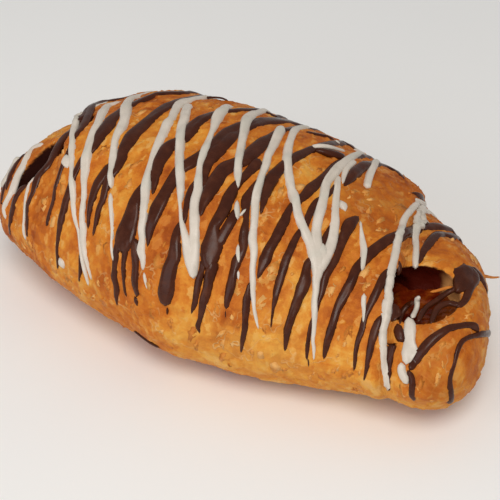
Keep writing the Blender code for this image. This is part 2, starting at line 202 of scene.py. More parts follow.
# The drizzle in photograph pixels: x, y and width at each point of a line.
DARK_LINES = {
    "flap_1": ((24, 156, 6), (18, 164, 9), (13.5, 173, 10), (10, 182, 8), (8, 188, 5)),
    "flap_2": ((9, 181, 4), (5.5, 188, 6), (3.5, 195, 5), (2.5, 203, 3)),
    "1": (
        (26, 186, 4), (21, 190, 7), (16.5, 199, 8), (13.5, 207, 7), (11.5, 215, 6), (10.5, 224, 4),
        (10, 234, 2.5),
    ),
    "2": (
        (90, 108, 7), (80, 120, 8), (67, 135, 8), (56, 151, 9), (48.5, 166, 9), (39, 178, 8), (34, 193, 6),
        (29, 207, 6), (28.5, 223, 4.5), (28, 235, 3),
    ),
    "3": (
        (115, 97, 7), (98, 103, 7), (84, 125, 9), (72, 145, 5), (64, 163, 5), (57, 186, 5.5),
        (51.5, 209, 5), (48.5, 224, 4),
    ),
    "4": (
        (180, 94, 7), (165, 95, 9), (150, 98, 8), (138, 102, 8), (120, 113, 9), (112, 121, 12),
        (107, 129, 15), (101, 137, 12), (97, 145, 8), (91, 153, 7), (81, 162, 7), (72, 183, 7),
        (66, 202, 8), (62, 221, 7), (58, 241, 4), (58, 262, 3.5), (58, 268, 1.5),
    ),
    "4_foot": ((79.5, 255, 2), (80, 270, 3.5), (80, 280, 3)),
    "5": (
        (190, 98, 5), (180, 101, 7), (170, 106, 11), (160, 112, 12), (142, 127, 13), (132, 138, 14),
        (124.5, 150, 12), (121, 160, 9), (117, 170, 8), (110, 178, 10), (106, 188, 8), (103, 200, 6.5),
        (98.5, 210, 6), (94.5, 230, 3.5), (94, 235, 2.5),
    ),
    "5_side": ((108, 166, 6), (104, 175, 10), (98, 185, 10), (92, 200, 8), (88.5, 220, 4), (88, 228, 2)),
    "6": (
        (152, 174, 8), (146, 184, 9), (139, 193, 9), (135, 203, 13), (132, 213, 16), (129, 223, 18),
        (126, 233, 21), (125, 243, 20),
    ),
    "6_foot_1": (
        (120, 243, 8), (117.5, 252, 7), (115.5, 270, 5.5), (114.5, 277, 6.5), (116.5, 286, 6),
        (117, 295, 5), (118, 304, 2),
    ),
    "6_foot_2": ((128, 240, 9), (126, 250, 6.5), (124.5, 270, 4.5), (125.5, 289, 3.5), (127.5, 295, 2.5)),
    "6_foot_3": ((136, 242, 7), (136.5, 262, 8), (136, 282, 8), (137, 291, 6.5), (137, 295, 4)),
    "6_drop": ((136, 298, 4), (137, 301, 5), (138, 304, 3)),
    "7": (
        (273, 116, 5), (262, 111, 6), (250, 110, 6), (238, 111, 7), (225, 112, 8), (214, 115, 9),
        (203, 120, 11), (194, 126, 13), (187, 134, 12), (178, 142, 11), (169, 147, 12), (163, 155, 14),
        (159, 163, 14), (157, 172, 12), (155, 182, 8), (153, 194, 3),
    ),
    "7_lower": (
        (276, 119, 5), (262, 121, 7), (250, 124, 9), (240, 128, 12), (229, 134, 15), (219, 142, 14),
        (210, 150, 12), (200, 157, 11), (190, 164, 12), (180, 170, 12), (173, 178, 11), (168, 188, 13),
        (163, 198, 14), (158, 208, 14), (154, 219, 13), (150, 230, 10), (148.5, 240, 5), (148, 246, 2),
    ),
    "8": ((236, 134, 10), (226, 143, 14), (216, 153, 14), (209, 163, 11), (205.5, 174, 8), (204, 186, 6)),
    "8_lower": (
        (200, 178, 6), (192, 188, 7), (188, 198, 7), (186, 210, 6), (184, 220, 6), (178, 228, 7),
        (176, 238, 10.5), (175, 248, 12.5), (173.5, 259, 15.5), (170, 268, 16), (168, 278, 16.5),
        (166.5, 289, 17.5), (165.5, 295, 17), (165.5, 299.5, 14),
    ),
    "9": (
        (284, 131, 7), (271, 137, 9), (262, 143, 13), (254, 151, 15), (247, 159, 13), (236, 163, 12),
        (226, 168, 14), (218, 177, 16), (212, 187, 16), (207, 196, 13), (203, 205, 9), (201, 215, 4),
    ),
    "9_lower": (
        (257, 163, 12), (249, 172, 10), (241, 180, 8), (234, 188, 11), (229, 197, 13), (225, 207, 13),
        (220, 217, 13), (214, 227, 12), (213, 236, 16), (212, 246, 22), (210, 256, 20), (209, 264, 14),
    ),
    "9_side": ((236, 212, 9), (231, 222, 11), (225, 232, 11), (219, 242, 12)),
    "9_foot_1": (
        (203, 262, 7), (202, 270, 6.5), (199, 280, 8), (197, 290, 7.5), (195.5, 300, 6.5),
        (193.5, 307, 5.5), (191.5, 313, 2),
    ),
    "9_foot_2": (
        (213, 265, 12), (211, 272, 12), (209, 280, 11), (207, 290, 10), (204, 300, 9.5), (202, 310, 8),
        (200, 319, 5), (198, 326, 6), (200, 332, 2),
    ),
    "10": (
        (262, 180, 9), (253, 190, 10), (246.5, 200, 11), (245.5, 210, 9), (246, 220, 6), (244.5, 230, 9),
        (243.5, 240, 10), (243, 250, 8), (237, 261, 11), (234, 270, 8.5), (232.5, 278, 9),
        (230.5, 288, 10.5), (228, 298, 8), (226.5, 307, 5),
    ),
    "11": (
        (249, 284, 3), (248, 291, 5), (247, 299, 8.5), (246, 309, 8.5), (245.5, 319, 6.5), (245, 329, 7),
        (242.5, 340, 5), (241, 352, 2),
    ),
    "12_upper": (
        (320, 147, 7), (307, 152, 8), (298, 156, 10), (290, 161, 11), (281, 168, 12), (273, 177, 14),
        (268, 187, 12), (265, 197, 8), (262.5, 206, 6), (261, 213, 3),
    ),
    "12": (
        (335, 165, 6), (328, 173, 8), (320, 181, 9), (311, 189, 12), (304, 197, 10), (296, 203, 9),
        (289, 211, 8), (285, 220, 10), (280, 230, 11), (275, 240, 11), (269, 250, 12), (265, 260, 12),
        (261, 270, 7.5), (258, 278, 2.5),
    ),
    "13": (
        (335, 186, 5), (328, 196, 5), (318, 201, 6), (313.5, 207, 8), (309, 216, 8), (305, 226, 7),
        (297, 236, 7), (290.5, 250, 8.5), (286, 260, 9), (283, 270, 9), (280, 280, 8.5), (277, 290, 8),
        (275, 300, 6), (273, 310, 3.5), (271, 327, 1.5),
    ),
    "14": (
        (331, 226, 4), (325, 238, 6), (322, 250, 5), (314, 257, 6), (308, 263, 8), (306, 271, 9),
        (305, 280, 12), (302, 289, 13), (297.5, 300, 10), (294, 310, 9.5), (290.5, 320, 8.5),
        (287.5, 330, 8), (286, 341, 5.5), (285, 350, 3),
    ),
    "15": (
        (356, 219, 8), (350, 224, 14), (346, 231, 12), (343, 240, 9), (339, 250, 8), (335.5, 260, 8),
        (330, 269, 8), (326, 276, 8), (324, 283, 8), (322, 292, 6), (319, 302, 4), (316, 312, 4),
        (311, 324, 4), (309, 335, 4.5), (307.5, 347, 5), (307, 358, 3),
    ),
    "16": (
        (465, 238, 6), (452, 230.5, 10), (440, 227.5, 10), (430, 227, 9.5), (420, 228, 9.5),
        (410, 231.5, 9.5), (400, 235, 10), (391, 239, 10), (381, 245, 11), (371, 253, 12), (363, 262, 11),
        (356, 270, 10), (352, 280, 10), (347, 290, 10.5), (341.5, 300, 10), (337, 310, 9), (334, 320, 8.5),
        (331, 330, 8.5), (328, 340, 8), (325.5, 350, 6), (324, 358, 3),
    ),
    "17": (
        (388, 270, 4), (384, 276, 8), (381, 283, 9), (377, 292, 9), (373, 300, 8.5), (369, 308, 7),
        (364.5, 319, 6.5), (362, 330, 6.5), (358.5, 340, 6), (356, 352, 5), (355, 362, 4), (354, 370, 2),
    ),
    "18": (
        (381, 317, 4), (378, 323, 8), (375, 331, 9), (372.5, 340, 9), (370, 350, 7.5), (368, 360, 6),
        (366, 371, 4), (364, 380, 2),
    ),
    "19": (
        (403, 178, 4), (394, 171, 7), (384, 166, 7), (373, 164.5, 9), (363, 167, 10), (355, 173, 11),
        (349, 180, 9), (344, 186, 4),
    ),
    "21": (
        (458, 238, 6), (449, 236.5, 9), (441, 235, 9.5), (434, 238, 9.5), (428, 245, 8.5), (424, 251, 8),
        (419.5, 262, 3),
    ),
    "22": (
        (477, 331, 3), (475, 327, 6), (468, 325, 6), (459, 326, 6.5), (450, 328, 8), (441, 333, 9),
        (433, 339, 10), (426, 346, 11), (420, 354, 11), (415, 361, 9), (411, 368, 5),
    ),
    "22_foot": ((409, 372, 4), (412, 378, 6), (412, 387, 6.5), (412, 395, 6), (414, 400, 3)),
    "23": (
        (488, 333, 7), (482, 334, 6.5), (474, 336, 5), (467, 338, 5), (462, 342, 5.5), (458, 350, 5.5),
        (455, 360, 4.5), (452, 370, 4.5), (450, 380, 4.5), (450, 390, 5.5), (450, 401, 6),
    ),
    "24": ((393, 346, 7), (391.5, 352, 6.5), (390.5, 360, 5), (389.5, 380, 3), (389.5, 390, 1.5)),
    "rim_left": ((399, 263, 4), (400, 269, 5), (399, 274, 3)),
    "rim_low": ((393, 306, 6), (394, 312, 9), (392, 319, 6)),
    "lip": ((398, 327, 8), (399, 333, 11), (402, 339, 8)),
    "ridge_1": ((308, 133, 5), (320, 136, 5), (332, 140, 4)),
    "ridge_2": ((342, 143, 5), (350, 146, 6), (355, 150, 4)),
    "8_tail": ((166.9, 308, 1.4), (166.9, 311, 1.9), (166.9, 314.5, 1.2)),
    "9_tail": ((225.8, 311, 1.4), (225.8, 314, 1.8), (225.8, 317, 1.2)),
    "13_tail": ((308, 358, 2), (308.6, 362, 1.8), (308.6, 366.5, 1.3)),
    "16_tail": ((353.6, 362, 2), (353.8, 367, 1.8), (353.8, 371, 1.3)),
    "pool": ((464, 266, 6), (466, 272, 21), (465.5, 279, 25), (461, 286, 16), (458, 290, 7)),
    "pool_right": (
        (470, 270, 10), (474, 276, 14), (472, 283, 10), (469, 290, 9), (467, 297, 8), (464, 302, 7),
        (459, 306, 6),
    ),
    "pool_edge": ((474, 270, 8), (480, 276, 8), (484, 283, 6), (486, 292, 4)),
    "bump_upper": ((413, 193, 3), (418, 195, 5), (422, 199, 4)),
    "bump_lower": ((420, 206, 4), (425, 209, 4)),
}
# Round strands that lie free: their sag in millimetres away from the camera, and their points. Three
# hang into the open end, one curls up from the ridge, one is a broken bit that lies on top, and one
# is a dark strand along the lower edge of the belly.
DARK_STRANDS = {
    "base": (0, ((133.5, 330.5, 2.5), (142, 336.5, 4), (151, 343, 4), (159.5, 347.5, 3))),
    "mouth_1": (2.5, (
        (458, 287, 8), (452, 290, 6), (444, 295, 5.5), (436, 301, 5.5), (428, 306, 5.5), (423, 312, 5.5),
        (418, 322, 4),
    )),
    "mouth_2": (2.5, (
        (460, 306, 6), (452, 303.5, 6), (445, 304, 6), (438, 308, 7), (434, 315, 6), (431, 324, 4),
    )),
    "mouth_3": (2.5, ((414, 302, 4), (408, 305, 5.5), (403, 311, 6), (400, 318, 6), (400, 324, 4))),
    "curl": (0, ((203, 98, 3.5), (210, 97.5, 3), (217, 97.5, 2.6), (223, 98.5, 2.6), (229, 101.5, 2))),
    "broken_bit": (-1.4, (
        (313, 149.5, 5), (321, 151, 7), (329, 153.2, 9), (337, 155.6, 10.5), (344, 157.5, 10),
    )),
}
WHITE_LINES = {
    "flap_1": ((15, 161, 10), (10.5, 168, 11), (7.5, 176, 11), (5.5, 184, 9)),
    "flap_2": (
        (42, 145, 5), (34, 149, 7), (28, 157, 7), (24, 165, 6.5), (18.5, 174, 6.5), (15, 183, 7),
        (12, 192, 7), (8, 200, 6), (4.5, 209, 5), (6, 217, 4),
    ),
    "3": (
        (34, 178, 2), (29.5, 186, 3.5), (28, 193, 4), (26.5, 201, 4), (25.5, 211, 3), (25, 220, 3),
        (25, 230, 4), (26.5, 238, 3),
    ),
    "4": (
        (79, 116, 6), (75, 125, 7), (73.5, 133, 7), (73, 145, 6.5), (72, 156, 6), (72, 170, 4.5),
        (72.5, 180, 6), (73.5, 190, 5.5), (74, 210, 5), (75.5, 220, 4.5), (78.5, 230, 3), (79.5, 240, 3),
        (80.5, 250, 3.5), (82, 260, 4), (84, 270, 4), (87, 280, 2.5), (89, 285, 1.5),
    ),
    "4_blob": ((67.5, 158, 6), (67.5, 162, 10), (68, 166, 6)),
    "5": (
        (115, 104, 5), (108, 107, 8), (103.5, 114, 9.5), (98.5, 125, 9), (95, 131, 8), (91.5, 140, 8),
        (89, 150, 9), (87, 160, 9.5), (85.5, 170, 9), (84.5, 180, 7), (84.5, 190, 5.5), (84, 200, 5.5),
        (82.5, 210, 6), (82.5, 220, 6), (83.5, 230, 7), (83.5, 240, 7), (84, 250, 6), (86, 260, 4),
        (88.5, 270, 3), (91, 279, 1.5),
    ),
    "6": (
        (133, 99, 8), (127, 105, 10), (126, 112, 10), (125, 120, 9), (121, 130, 9), (118.5, 135, 8.5),
        (116, 140, 7.5), (114, 150, 7.5), (113, 160, 8), (112.5, 170, 5.5), (112, 180, 5), (111.5, 187, 3),
    ),
    "6_foot": (
        (110.5, 194, 2.5), (111, 200, 5), (112, 210, 4.5), (112.5, 220, 3.5), (113, 230, 3.5),
        (113, 240, 2.5), (113.5, 250, 3), (115, 259, 2.5),
    ),
    "7": (
        (206, 98, 7), (190, 101, 8), (180, 106, 9), (175, 112, 8), (172, 119, 8), (167.5, 125, 10),
        (165, 130, 9), (160.5, 140, 9), (156, 150, 7.5), (151.5, 161, 5.5), (149, 170, 7), (147, 180, 9),
        (146, 190, 9.5), (145.5, 200, 9), (144.5, 210, 9), (143.5, 220, 8.5), (141.5, 230, 8),
        (142.5, 240, 7), (142, 250, 7.5), (144, 260, 6), (144, 268, 4),
    ),
    "7_tail": ((145, 274, 3), (146, 280, 3), (148, 288, 1.5)),
    "8": (
        (188, 107, 9), (185.5, 114, 9), (184.5, 120, 9), (182, 125, 8.5), (180.5, 136, 11), (180.5, 142, 9),
        (179.5, 157, 10), (180, 170, 9.5), (180.5, 180, 8.5), (180.5, 190, 8.5), (180.5, 200, 5.5),
        (180.5, 206, 3.5), (181, 213, 4), (181.5, 220, 4.5), (183.5, 230, 6), (186, 240, 9), (189, 252, 13),
        (192, 264, 13), (193.5, 275, 8),
    ),
    "9": (
        (227, 107, 8), (223, 111, 10), (217, 120, 10), (213.5, 130, 7), (211, 135, 6), (207, 145, 8),
        (205.5, 150, 9.5), (202, 160, 7), (200, 166, 6), (198.5, 180, 9), (198, 190, 9), (195, 200, 9.5),
        (194, 210, 10), (194.5, 220, 11), (194.5, 230, 10), (194, 245, 12), (193.5, 260, 12), (194, 272, 8),
    ),
    "10": (
        (266, 112, 5), (257, 113, 7), (249, 118, 10), (246, 123, 12), (243.5, 135, 9), (242.5, 140, 9),
        (240, 153, 8.5), (239, 160, 8.5), (238, 168, 8), (238, 176, 8), (238, 182, 5.5), (238, 188, 2.5),
    ),
    "10_foot": ((237, 202, 4), (237, 210, 6.5), (237.5, 219, 4)),
    "10_branch": ((245, 211, 3), (240, 216, 3)),
    "10_bit_1": ((238, 246, 3), (238, 254, 4.5), (239, 262, 3)),
    "10_bit_2": ((238.5, 272, 3), (238.5, 279, 2)),
    "11": (
        (280, 132, 10), (276, 140, 9), (271, 150, 9), (268, 156, 8.5), (266.5, 163, 9), (264, 170, 7.5),
        (262, 175, 7.5), (260, 182, 8), (257.5, 190, 9), (255.5, 200, 9), (255, 210, 8.5), (254.5, 220, 8),
        (253.5, 230, 7.5), (252.5, 240, 9), (254, 250, 8), (253.5, 260, 6.5), (252.5, 270, 6.5),
        (253, 280, 6.5), (253, 290, 5.5), (253.5, 300, 4.5), (254.5, 310, 4), (256.5, 320, 3.5),
        (258.5, 328, 2),
    ),
    "12": (
        (306, 129, 4), (299, 129, 5), (294, 132, 7), (290.5, 140, 8), (289, 145, 9.5), (287, 156, 9),
        (286.5, 161, 9.5), (288, 170, 9), (289.5, 180, 9.5), (291.5, 190, 8.5), (293.5, 196, 10),
        (297, 211, 9), (299.5, 220, 9.5), (304, 230, 9), (309, 240, 11), (314, 251, 14), (317, 262, 15),
    ),
    "13": (
        (360, 154, 6), (352, 158, 7), (344, 164, 8), (338, 169, 9), (333, 175, 10), (328, 181, 9),
        (325.5, 187, 9.5), (323, 200, 9.5), (321, 209, 10.5), (318, 219, 10), (316.5, 229, 10),
        (316, 240, 12), (317, 252, 14), (318, 264, 15), (317, 275, 10), (316, 281, 8), (316, 290, 6.5),
        (314.5, 300, 6), (314.5, 310, 6.5), (314.5, 320, 5.5), (314, 330, 4.5), (313, 340, 4),
        (314, 350, 3.5), (314, 359, 2),
    ),
    "14": (
        (338, 178, 5), (337, 184, 6.5), (336, 197, 7), (335, 213, 8.5), (335, 221, 9.5), (334, 230, 10),
        (332.5, 240, 11), (329, 250, 11), (324, 260, 12), (319, 270, 10),
    ),
    "12_14_join": ((322, 247, 8), (321, 255, 19), (319.5, 262, 17), (318, 269, 11)),
    "14_blob": ((341, 203, 5), (343, 206, 8), (344, 210, 5)),
    "14_side": ((353, 163, 6), (346, 170, 7), (343.5, 177, 5), (342, 184, 3)),
    "15": ((376, 162, 8), (374, 166, 8), (371.5, 171, 7.5), (369, 177, 7.5), (367.5, 186, 7)),
    "16": (
        (360, 223, 3), (360.5, 229, 3), (361.5, 236, 5), (362.5, 243, 6.5), (363.5, 251, 6.5),
        (363, 260, 6), (362.5, 267, 5), (362, 271, 3),
    ),
    "16_foot": ((364, 296, 5), (363.5, 304, 5), (364, 311, 4), (363.5, 322, 2)),
    "17": (
        (417, 204, 6), (411, 210, 7), (404.5, 219, 7.5), (401, 230, 7.5), (398, 240, 8), (396, 250, 8),
        (394, 260, 8), (391.5, 270, 8), (390.5, 280, 7.5), (388.5, 290, 7.5), (389, 299, 9), (387, 310, 9),
        (385.5, 320, 8), (383.5, 330, 8), (383, 340, 8), (383, 350, 6.5), (383, 360, 5.5), (384, 370, 5),
        (385, 379, 4.5), (385.5, 385, 4),
    ),
    "18": (
        (423, 210, 9), (418, 215, 10), (416, 221, 9.5), (415.5, 229, 8), (415.5, 237, 7), (416, 245, 7),
        (416, 253, 7), (415.5, 260, 7), (415.5, 266, 5),
    ),
    "19": (
        (409, 321, 9), (410, 326, 12), (410, 332, 12), (410, 339, 9.5), (409, 346, 11), (408, 354, 12),
        (407, 361, 7),
    ),
    "19_foot": ((401, 366, 7), (401, 371, 8), (403, 376, 8.5), (406, 381, 7)),
    "speck": ((61, 261, 7), (62, 263, 9), (63, 265, 7)),
    "ridge_1": ((336, 143, 4), (338, 144, 3)),
    "ridge_2": ((356, 149, 4), (359, 151, 3)),
    "bump": ((416, 200, 4), (420, 202, 5), (424, 205, 4)),
}
WHITE_STRANDS = {
    "mouth": (2.5, ((420, 297, 4), (417, 300, 6), (417, 306, 5), (415.5, 311, 4.5), (412, 318, 5))),
    "broken_bit": (-2.4, (
        (310.5, 147.5, 5), (319, 146, 5.5), (328, 146.8, 5), (336, 148.8, 4.5), (344.5, 151.5, 4),
    )),
}
# Where the lines that go over the ridge end at the back: x in millimetres and the angle.
BACK_ANGLE = 1.2
BACK_SPREAD = 0.3
DARK_BACK = {
    "2": (-60, 2), "3": (-54, 3), "4": (-36, 4), "5": (-31, 5), "7": (-9, 7), "7_lower": (-3, 9),
    "8": (2, 10), "9": (5, 11), "12_upper": (11, 13), "12": (17, 14), "16": (50, 17),
}
WHITE_BACK = {
    "4": (-58, 0), "5": (-56, 2), "6": (-50, 3), "7": (-35, 4), "9": (-26, 6), "10": (-15, 7),
    "12": (-2, 9), "13": (11, 10), "15": (21, 11), "17": (36, 13), "18": (41, 1),
}
BACK_STEPS = 4
BACK_NARROWS = 0.15
DARK_HEIGHT = 0.22
WHITE_HEIGHT = 0.26
MOST_HEIGHT = 0.85 * MM
# Behind their heads the lines sink in over the ridge, and rise again where the ridge hides them.
DARK_SUNK = 0.35
WHITE_SUNK = 0.8
WHITE_UNSEEN = 1.5
UNSEEN_HEADS = ("5", "9", "12")
HEAD_FADE = 3 * MM
HIDDEN_FROM = 0.16
HIDDEN_TO = 0.32
CROSSING_RISE = 0.3 * MM
# The noise of each line is taken this far from that of the line before.
SEED_STEP = 3.1
SPLINE_PARTS = 8
STRIP_STEP = 0.75 * MM
STRIP_ACROSS = 9
STRIP_SINK = 0.28 * MM
STRIP_THICKNESS = 0.35 * MM
# A strip's width and height vary by these shares. Its two powers shape the ridge across it.
WIDTH_VARIES = 0.08
HEIGHT_VARIES = 0.15
RIDGE_POWERS = (2.8, 0.55)
STRAND_SIDES = 12
STRAND_FLAT = 0.8
MOST_STRETCH = 1.25
TIP_REACH = 0.4
# Lifted flakes: a round plate of 12 sides, whose places on the photograph are given as x, y, half
# length and half width in pixels, and turn in degrees. The others are scattered by a seed.
FLAKE_SIDES = 12
FLAKE_RIM = 0.4
FLAKE_ABOVE = 0.03 * MM
FLAKE_THICKNESS = 0.14 * MM
FLAKE_LIFT = 0.3 * MM
FLAKE_RAGGED = 0.9
FLAKE_CLEAR = 0.9 * MM
FLAKE_LENGTHS = (0.8 * MM, 2.4 * MM)
FLAKE_TURN = math.radians(70)
FLAKE_ANGLES = (-1.9, 1.9)
FLAKE_ALONG = 0.96
FLAKE_SLIMMEST = 0.32
FLAKE_SLIM_RANGE = 0.35
FLAKE_LOWEST = 2 * MM
PLACED_LIFT = 0.1 * MM
FLAKE_COUNT = 620
FLAKE_SEED = 5
FLAKE_PLACES = (
    (107, 246, 8, 3, 80), (54.5, 220, 9, 2.6, 80), (104, 303, 7, 6, 20), (134.5, 165.5, 5, 3, 60),
    (399.5, 210, 12, 7, 70), (270.5, 273, 15, 6.5, 72), (487, 286.5, 4, 2.5, 0), (407, 250, 15, 4.5, 80),
    (318, 186, 5, 3, 40),
)
FLAKE_STRANDS = (
    ((481, 275.5, 4), (487, 276.5, 3.2), (493, 277.5, 2.4), (500, 277, 1.4)),
    ((453, 286.5, 2.5), (446, 288, 3.2), (438, 290.5, 3), (430, 292, 2)),
)
CRUMB_COUNT = 46
CRUMB_SEED = 11
CRUMB_RADII = (0.25 * MM, 0.7 * MM)
CRUMB_ALONG = 0.9
CRUMB_ANGLES = (-1, 1)
CRUMB_ROUGH = 0.45
CRUMB_SITS = 0.5
WELD = 0.003 * MM
RAY_START = 2.5
CAST_ABOVE = 6 * MM

FLOOR_SIZE = 3
FLOOR_BELOW = 0.1 * MM
SKY_STRENGTH = 0.43
# Each light's name, place and size in metres, power in watts and colour.
LIGHTS = (
    ("key", (0.32, -0.46, 0.85), 0.5, 4.9, "#fffaf2"),
    ("fill", (-0.2, -0.85, 0.38), 0.7, 2.0, "#fbfbff"),
)


def to_linear(colour):
    """A colour written as sRGB hex, as linear red, green, blue and alpha."""
    values = [int(colour[start:start + 2], 16) / 255 for start in (1, 3, 5)]
    return (*(v / 12.92 if v <= 0.04045 else ((v + 0.055) / 1.055) ** 2.4 for v in values), 1)


def share(value, low=0):
    """A value held between a lowest value and 1."""
    return min(max(value, low), 1)


def smooth_share(value):
    value = share(value)
    return value * value * (3 - 2 * value)


def between(ends, t):
    """The value at a share of the way between two."""
    return ends[0] + (ends[1] - ends[0]) * t


def photo_axes():
    """The camera's place, and its forward, right and up directions."""
    back = Vector((
        math.sin(PHOTO_AZIMUTH) * math.cos(PHOTO_ELEVATION),
        -math.cos(PHOTO_AZIMUTH) * math.cos(PHOTO_ELEVATION),
        math.sin(PHOTO_ELEVATION),
    ))
    right = Vector((0, 0, 1)).cross(back).normalized()
    return PHOTO_AIM + back * PHOTO_DISTANCE, -back, right, back.cross(right)


def pixel_ray(x, y):
    """The ray through a pixel of the photograph."""
    place, forward, right, up = photo_axes()
    across = (x - PHOTO_AIM_PIXEL[0]) / PHOTO_FOCAL
    along_up = (PHOTO_AIM_PIXEL[1] - y) / PHOTO_FOCAL
    return place, (forward + right * across + up * along_up).normalized()


def cast_pixel(surface, x, y):
    """The first point of a surface behind a pixel. A pixel that just misses is moved inwards."""
    for _ in range(MOST_MOVES):
        hit, normal, _, _ = surface.ray_cast(*pixel_ray(x, y))
        if hit is not None:
            return hit, normal
        inwards = Vector((PHOTO_AIM_PIXEL[0] - x, PHOTO_AIM_PIXEL[1] - y)).normalized()
        x += inwards.x
        y += inwards.y
    raise ValueError("a pixel of the photograph lies off the pastry")


def add_camera():
    place, forward, _, _ = photo_axes()
    data = bpy.data.cameras.new("camera")
    data.sensor_width = SENSOR_WIDTH
    data.lens = PHOTO_FOCAL * SENSOR_WIDTH / PHOTO_SIZE
    data.shift_x = (PHOTO_SIZE / 2 - PHOTO_AIM_PIXEL[0]) / PHOTO_SIZE
    data.shift_y = (PHOTO_AIM_PIXEL[1] - PHOTO_SIZE / 2) / PHOTO_SIZE
    data.clip_start = CLIP_START
    camera = bpy.data.objects.new("camera", data)
    camera.location = place
    camera.rotation_mode = "QUATERNION"
    camera.rotation_quaternion = forward.to_track_quat("-Z", "Y")
    bpy.context.collection.objects.link(camera)
    bpy.context.scene.camera = camera


def along(values, x):
    """The smooth value at x of a size that is given at the roll's sections."""
    last = len(values) - 1
    position = share(x / LENGTH + 0.5) * last
    index = min(int(position), last - 1)
    t = position - index
    before = values[max(index - 1, 0)]
    start = values[index]
    end = values[index + 1]
    after = values[min(index + 2, last)]
    linear = (end - before) * t
    square = (2 * before - 5 * start + 4 * end - after) * t ** 2
    cube = (3 * start - before - 3 * end + after) * t ** 3
    return start + 0.5 * (linear + square + cube)


def section(x):
    """Middle, half width, rise above the middle and fullness of the roll at x."""
    height = along(HEIGHTS, x)
    middle = Vector((x, along(OFFSETS, x), WIDEST_AT * height))
    fullness = max(1 - abs(2 * x / LENGTH) ** END_POWER, 0) ** END_ROOT
    return middle, along(HALF_WIDTHS, x), height - middle.z, fullness


def smooth_dough(point):
    """Move a point of a unit sphere, whose poles lie on X, to the surface of the smooth roll."""
    x = point.x * LENGTH / 2
    angle = math.atan2(point.y, point.z)
    middle, half_width, rise, fullness = section(x)
    up = math.cos(angle)
    if up < 0:
        belly = LOWER_BELLY + TUCK * math.exp(-((x - TUCK_AT) / TUCK_REACH) ** 2)
        rise = (middle.z + FLATTENED) * fullness ** LOWER_END_POWER * abs(up) ** belly / max(-up, 1e-6)
    else:
        rise *= fullness
    return middle + Vector((0, half_width * fullness * math.sin(angle), rise * up))


def place_on_roll(point):
    """The angle round the roll at a point, and the direction in which its relief goes."""
    middle, half_width, rise, fullness = section(point.x)
    offset = point - middle
    angle = math.atan2(offset.y / half_width, offset.z / rise)
    return angle, offset.normalized() * min(fullness * 2, 1)


def past_edge(edge, point):
    """How far a point lies beyond the ragged edge of a sheet of dough, and how much that edge shows."""
    normal = Vector(edge["normal"]).normalized()
    past = (point - Vector(edge["point"]) * MM).dot(normal)
    past += EDGE_RAGGED * noise.fractal(point / (7 * MM), *RAGGED)
    angle, _ = place_on_roll(point)
    shown = share((point.x - edge["start"] * MM) / FADE_ALONG) * share((angle - edge["lowest"]) / FADE_ROUND)
    return past, shown * share(point.z / FADE_AT_BASE)


def relief(point, angle):
    """How far a point of the smooth roll moves outwards, for the edges, the broken patch and the bumps."""
    x = point.x
    out = 0
    for edge in EDGES:
        past, shown = past_edge(edge, point)
        side = share(past / EDGE_HALF_WIDTH, -1)
        out -= 0.5 * edge["step"] * MM * side * shown * math.exp(-abs(past) / (edge["fade"] * MM))
    out -= PATCH_DEPTH * patch_share(point, angle)
    out += BUMP_HEIGHT * math.sin(x / (6 * MM) + 2 * angle) * math.cos(3 * angle - x / (9 * MM))
    for centre, reach, height in SWELLS:
        out += height * MM * math.exp(-((point - Vector(centre) * MM).length / (reach * MM)) ** 2)
    return out


def patch_share(point, angle):
    """How much of the broken patch on top shows at a point."""
    across = (point.x - PATCH_CENTRE[0]) / PATCH_HALF_SIZE[0]
    around = (angle - PATCH_CENTRE[1]) / PATCH_HALF_SIZE[1]
    ragged = PATCH_RAGGED * noise.fractal(point / (6 * MM), *RAGGED)
    return 0.5 - 0.5 * math.tanh(PATCH_SHARPNESS * (math.hypot(across, around) + ragged - 1))


def new_piece(name, shape):
    """A piece of the scene from a bmesh, which is freed."""
    mesh = bpy.data.meshes.new(name)
    shape.to_mesh(mesh)
    shape.free()
    piece = bpy.data.objects.new(name, mesh)
    bpy.context.collection.objects.link(piece)
    return piece


def ellipsoid(centre, radii, turn=None, segments=48):
    """A closed ellipsoid whose radii lie along the columns of a turn."""
    matrix = Matrix.Translation(centre)
    if turn is not None:
        matrix = matrix @ turn.to_4x4()
    matrix = matrix @ Matrix.Diagonal((*radii, 1))
    shape = bmesh.new()
    bmesh.ops.create_uvsphere(shape, u_segments=segments, v_segments=segments // 2, radius=1, matrix=matrix)
    return shape


def core(grow):
    """The jam that runs along the inside of the roll: a round bar with domed ends."""
    start, end = JAM_CORE_ENDS
    shape = bmesh.new()
    bmesh.ops.create_uvsphere(
        shape,
        u_segments=24,
        v_segments=15,
        radius=JAM_CORE_RADIUS + grow,
        matrix=Matrix.Rotation(math.radians(90), 4, "Y"),
    )
    for vertex in shape.verts:
        vertex.co.x += (end if vertex.co.x > 0 else start)
    bmesh.ops.translate(shape, verts=shape.verts, vec=(0, *JAM_CORE_MIDDLE))
    return shape


def pocket_shape():
    """The centre, radii and turn of the pocket, narrowed by the lip in front of it."""
    lean = LIP_LEAN.normalized()
    across = lean.cross(Vector((0, 0, 1))).normalized()
    turn = Matrix((lean, across, lean.cross(across))).transposed()
    return POCKET_CENTRE + lean * LIP_REACH, POCKET_RADII - Vector((LIP_REACH, 0, 0)), turn


def slot_turn():
    long_axis = SLOT_ALONG.normalized()
    down_axis = (SLOT_DOWN - SLOT_DOWN.dot(long_axis) * long_axis).normalized()
    return Matrix((long_axis, down_axis.cross(long_axis), down_axis)).transposed()


def merge(whole, shape):
    """Add a bmesh to another, and free it."""
    mesh = bpy.data.meshes.new("part")
    shape.to_mesh(mesh)
    shape.free()
    whole.from_mesh(mesh)
    bpy.data.meshes.remove(mesh)


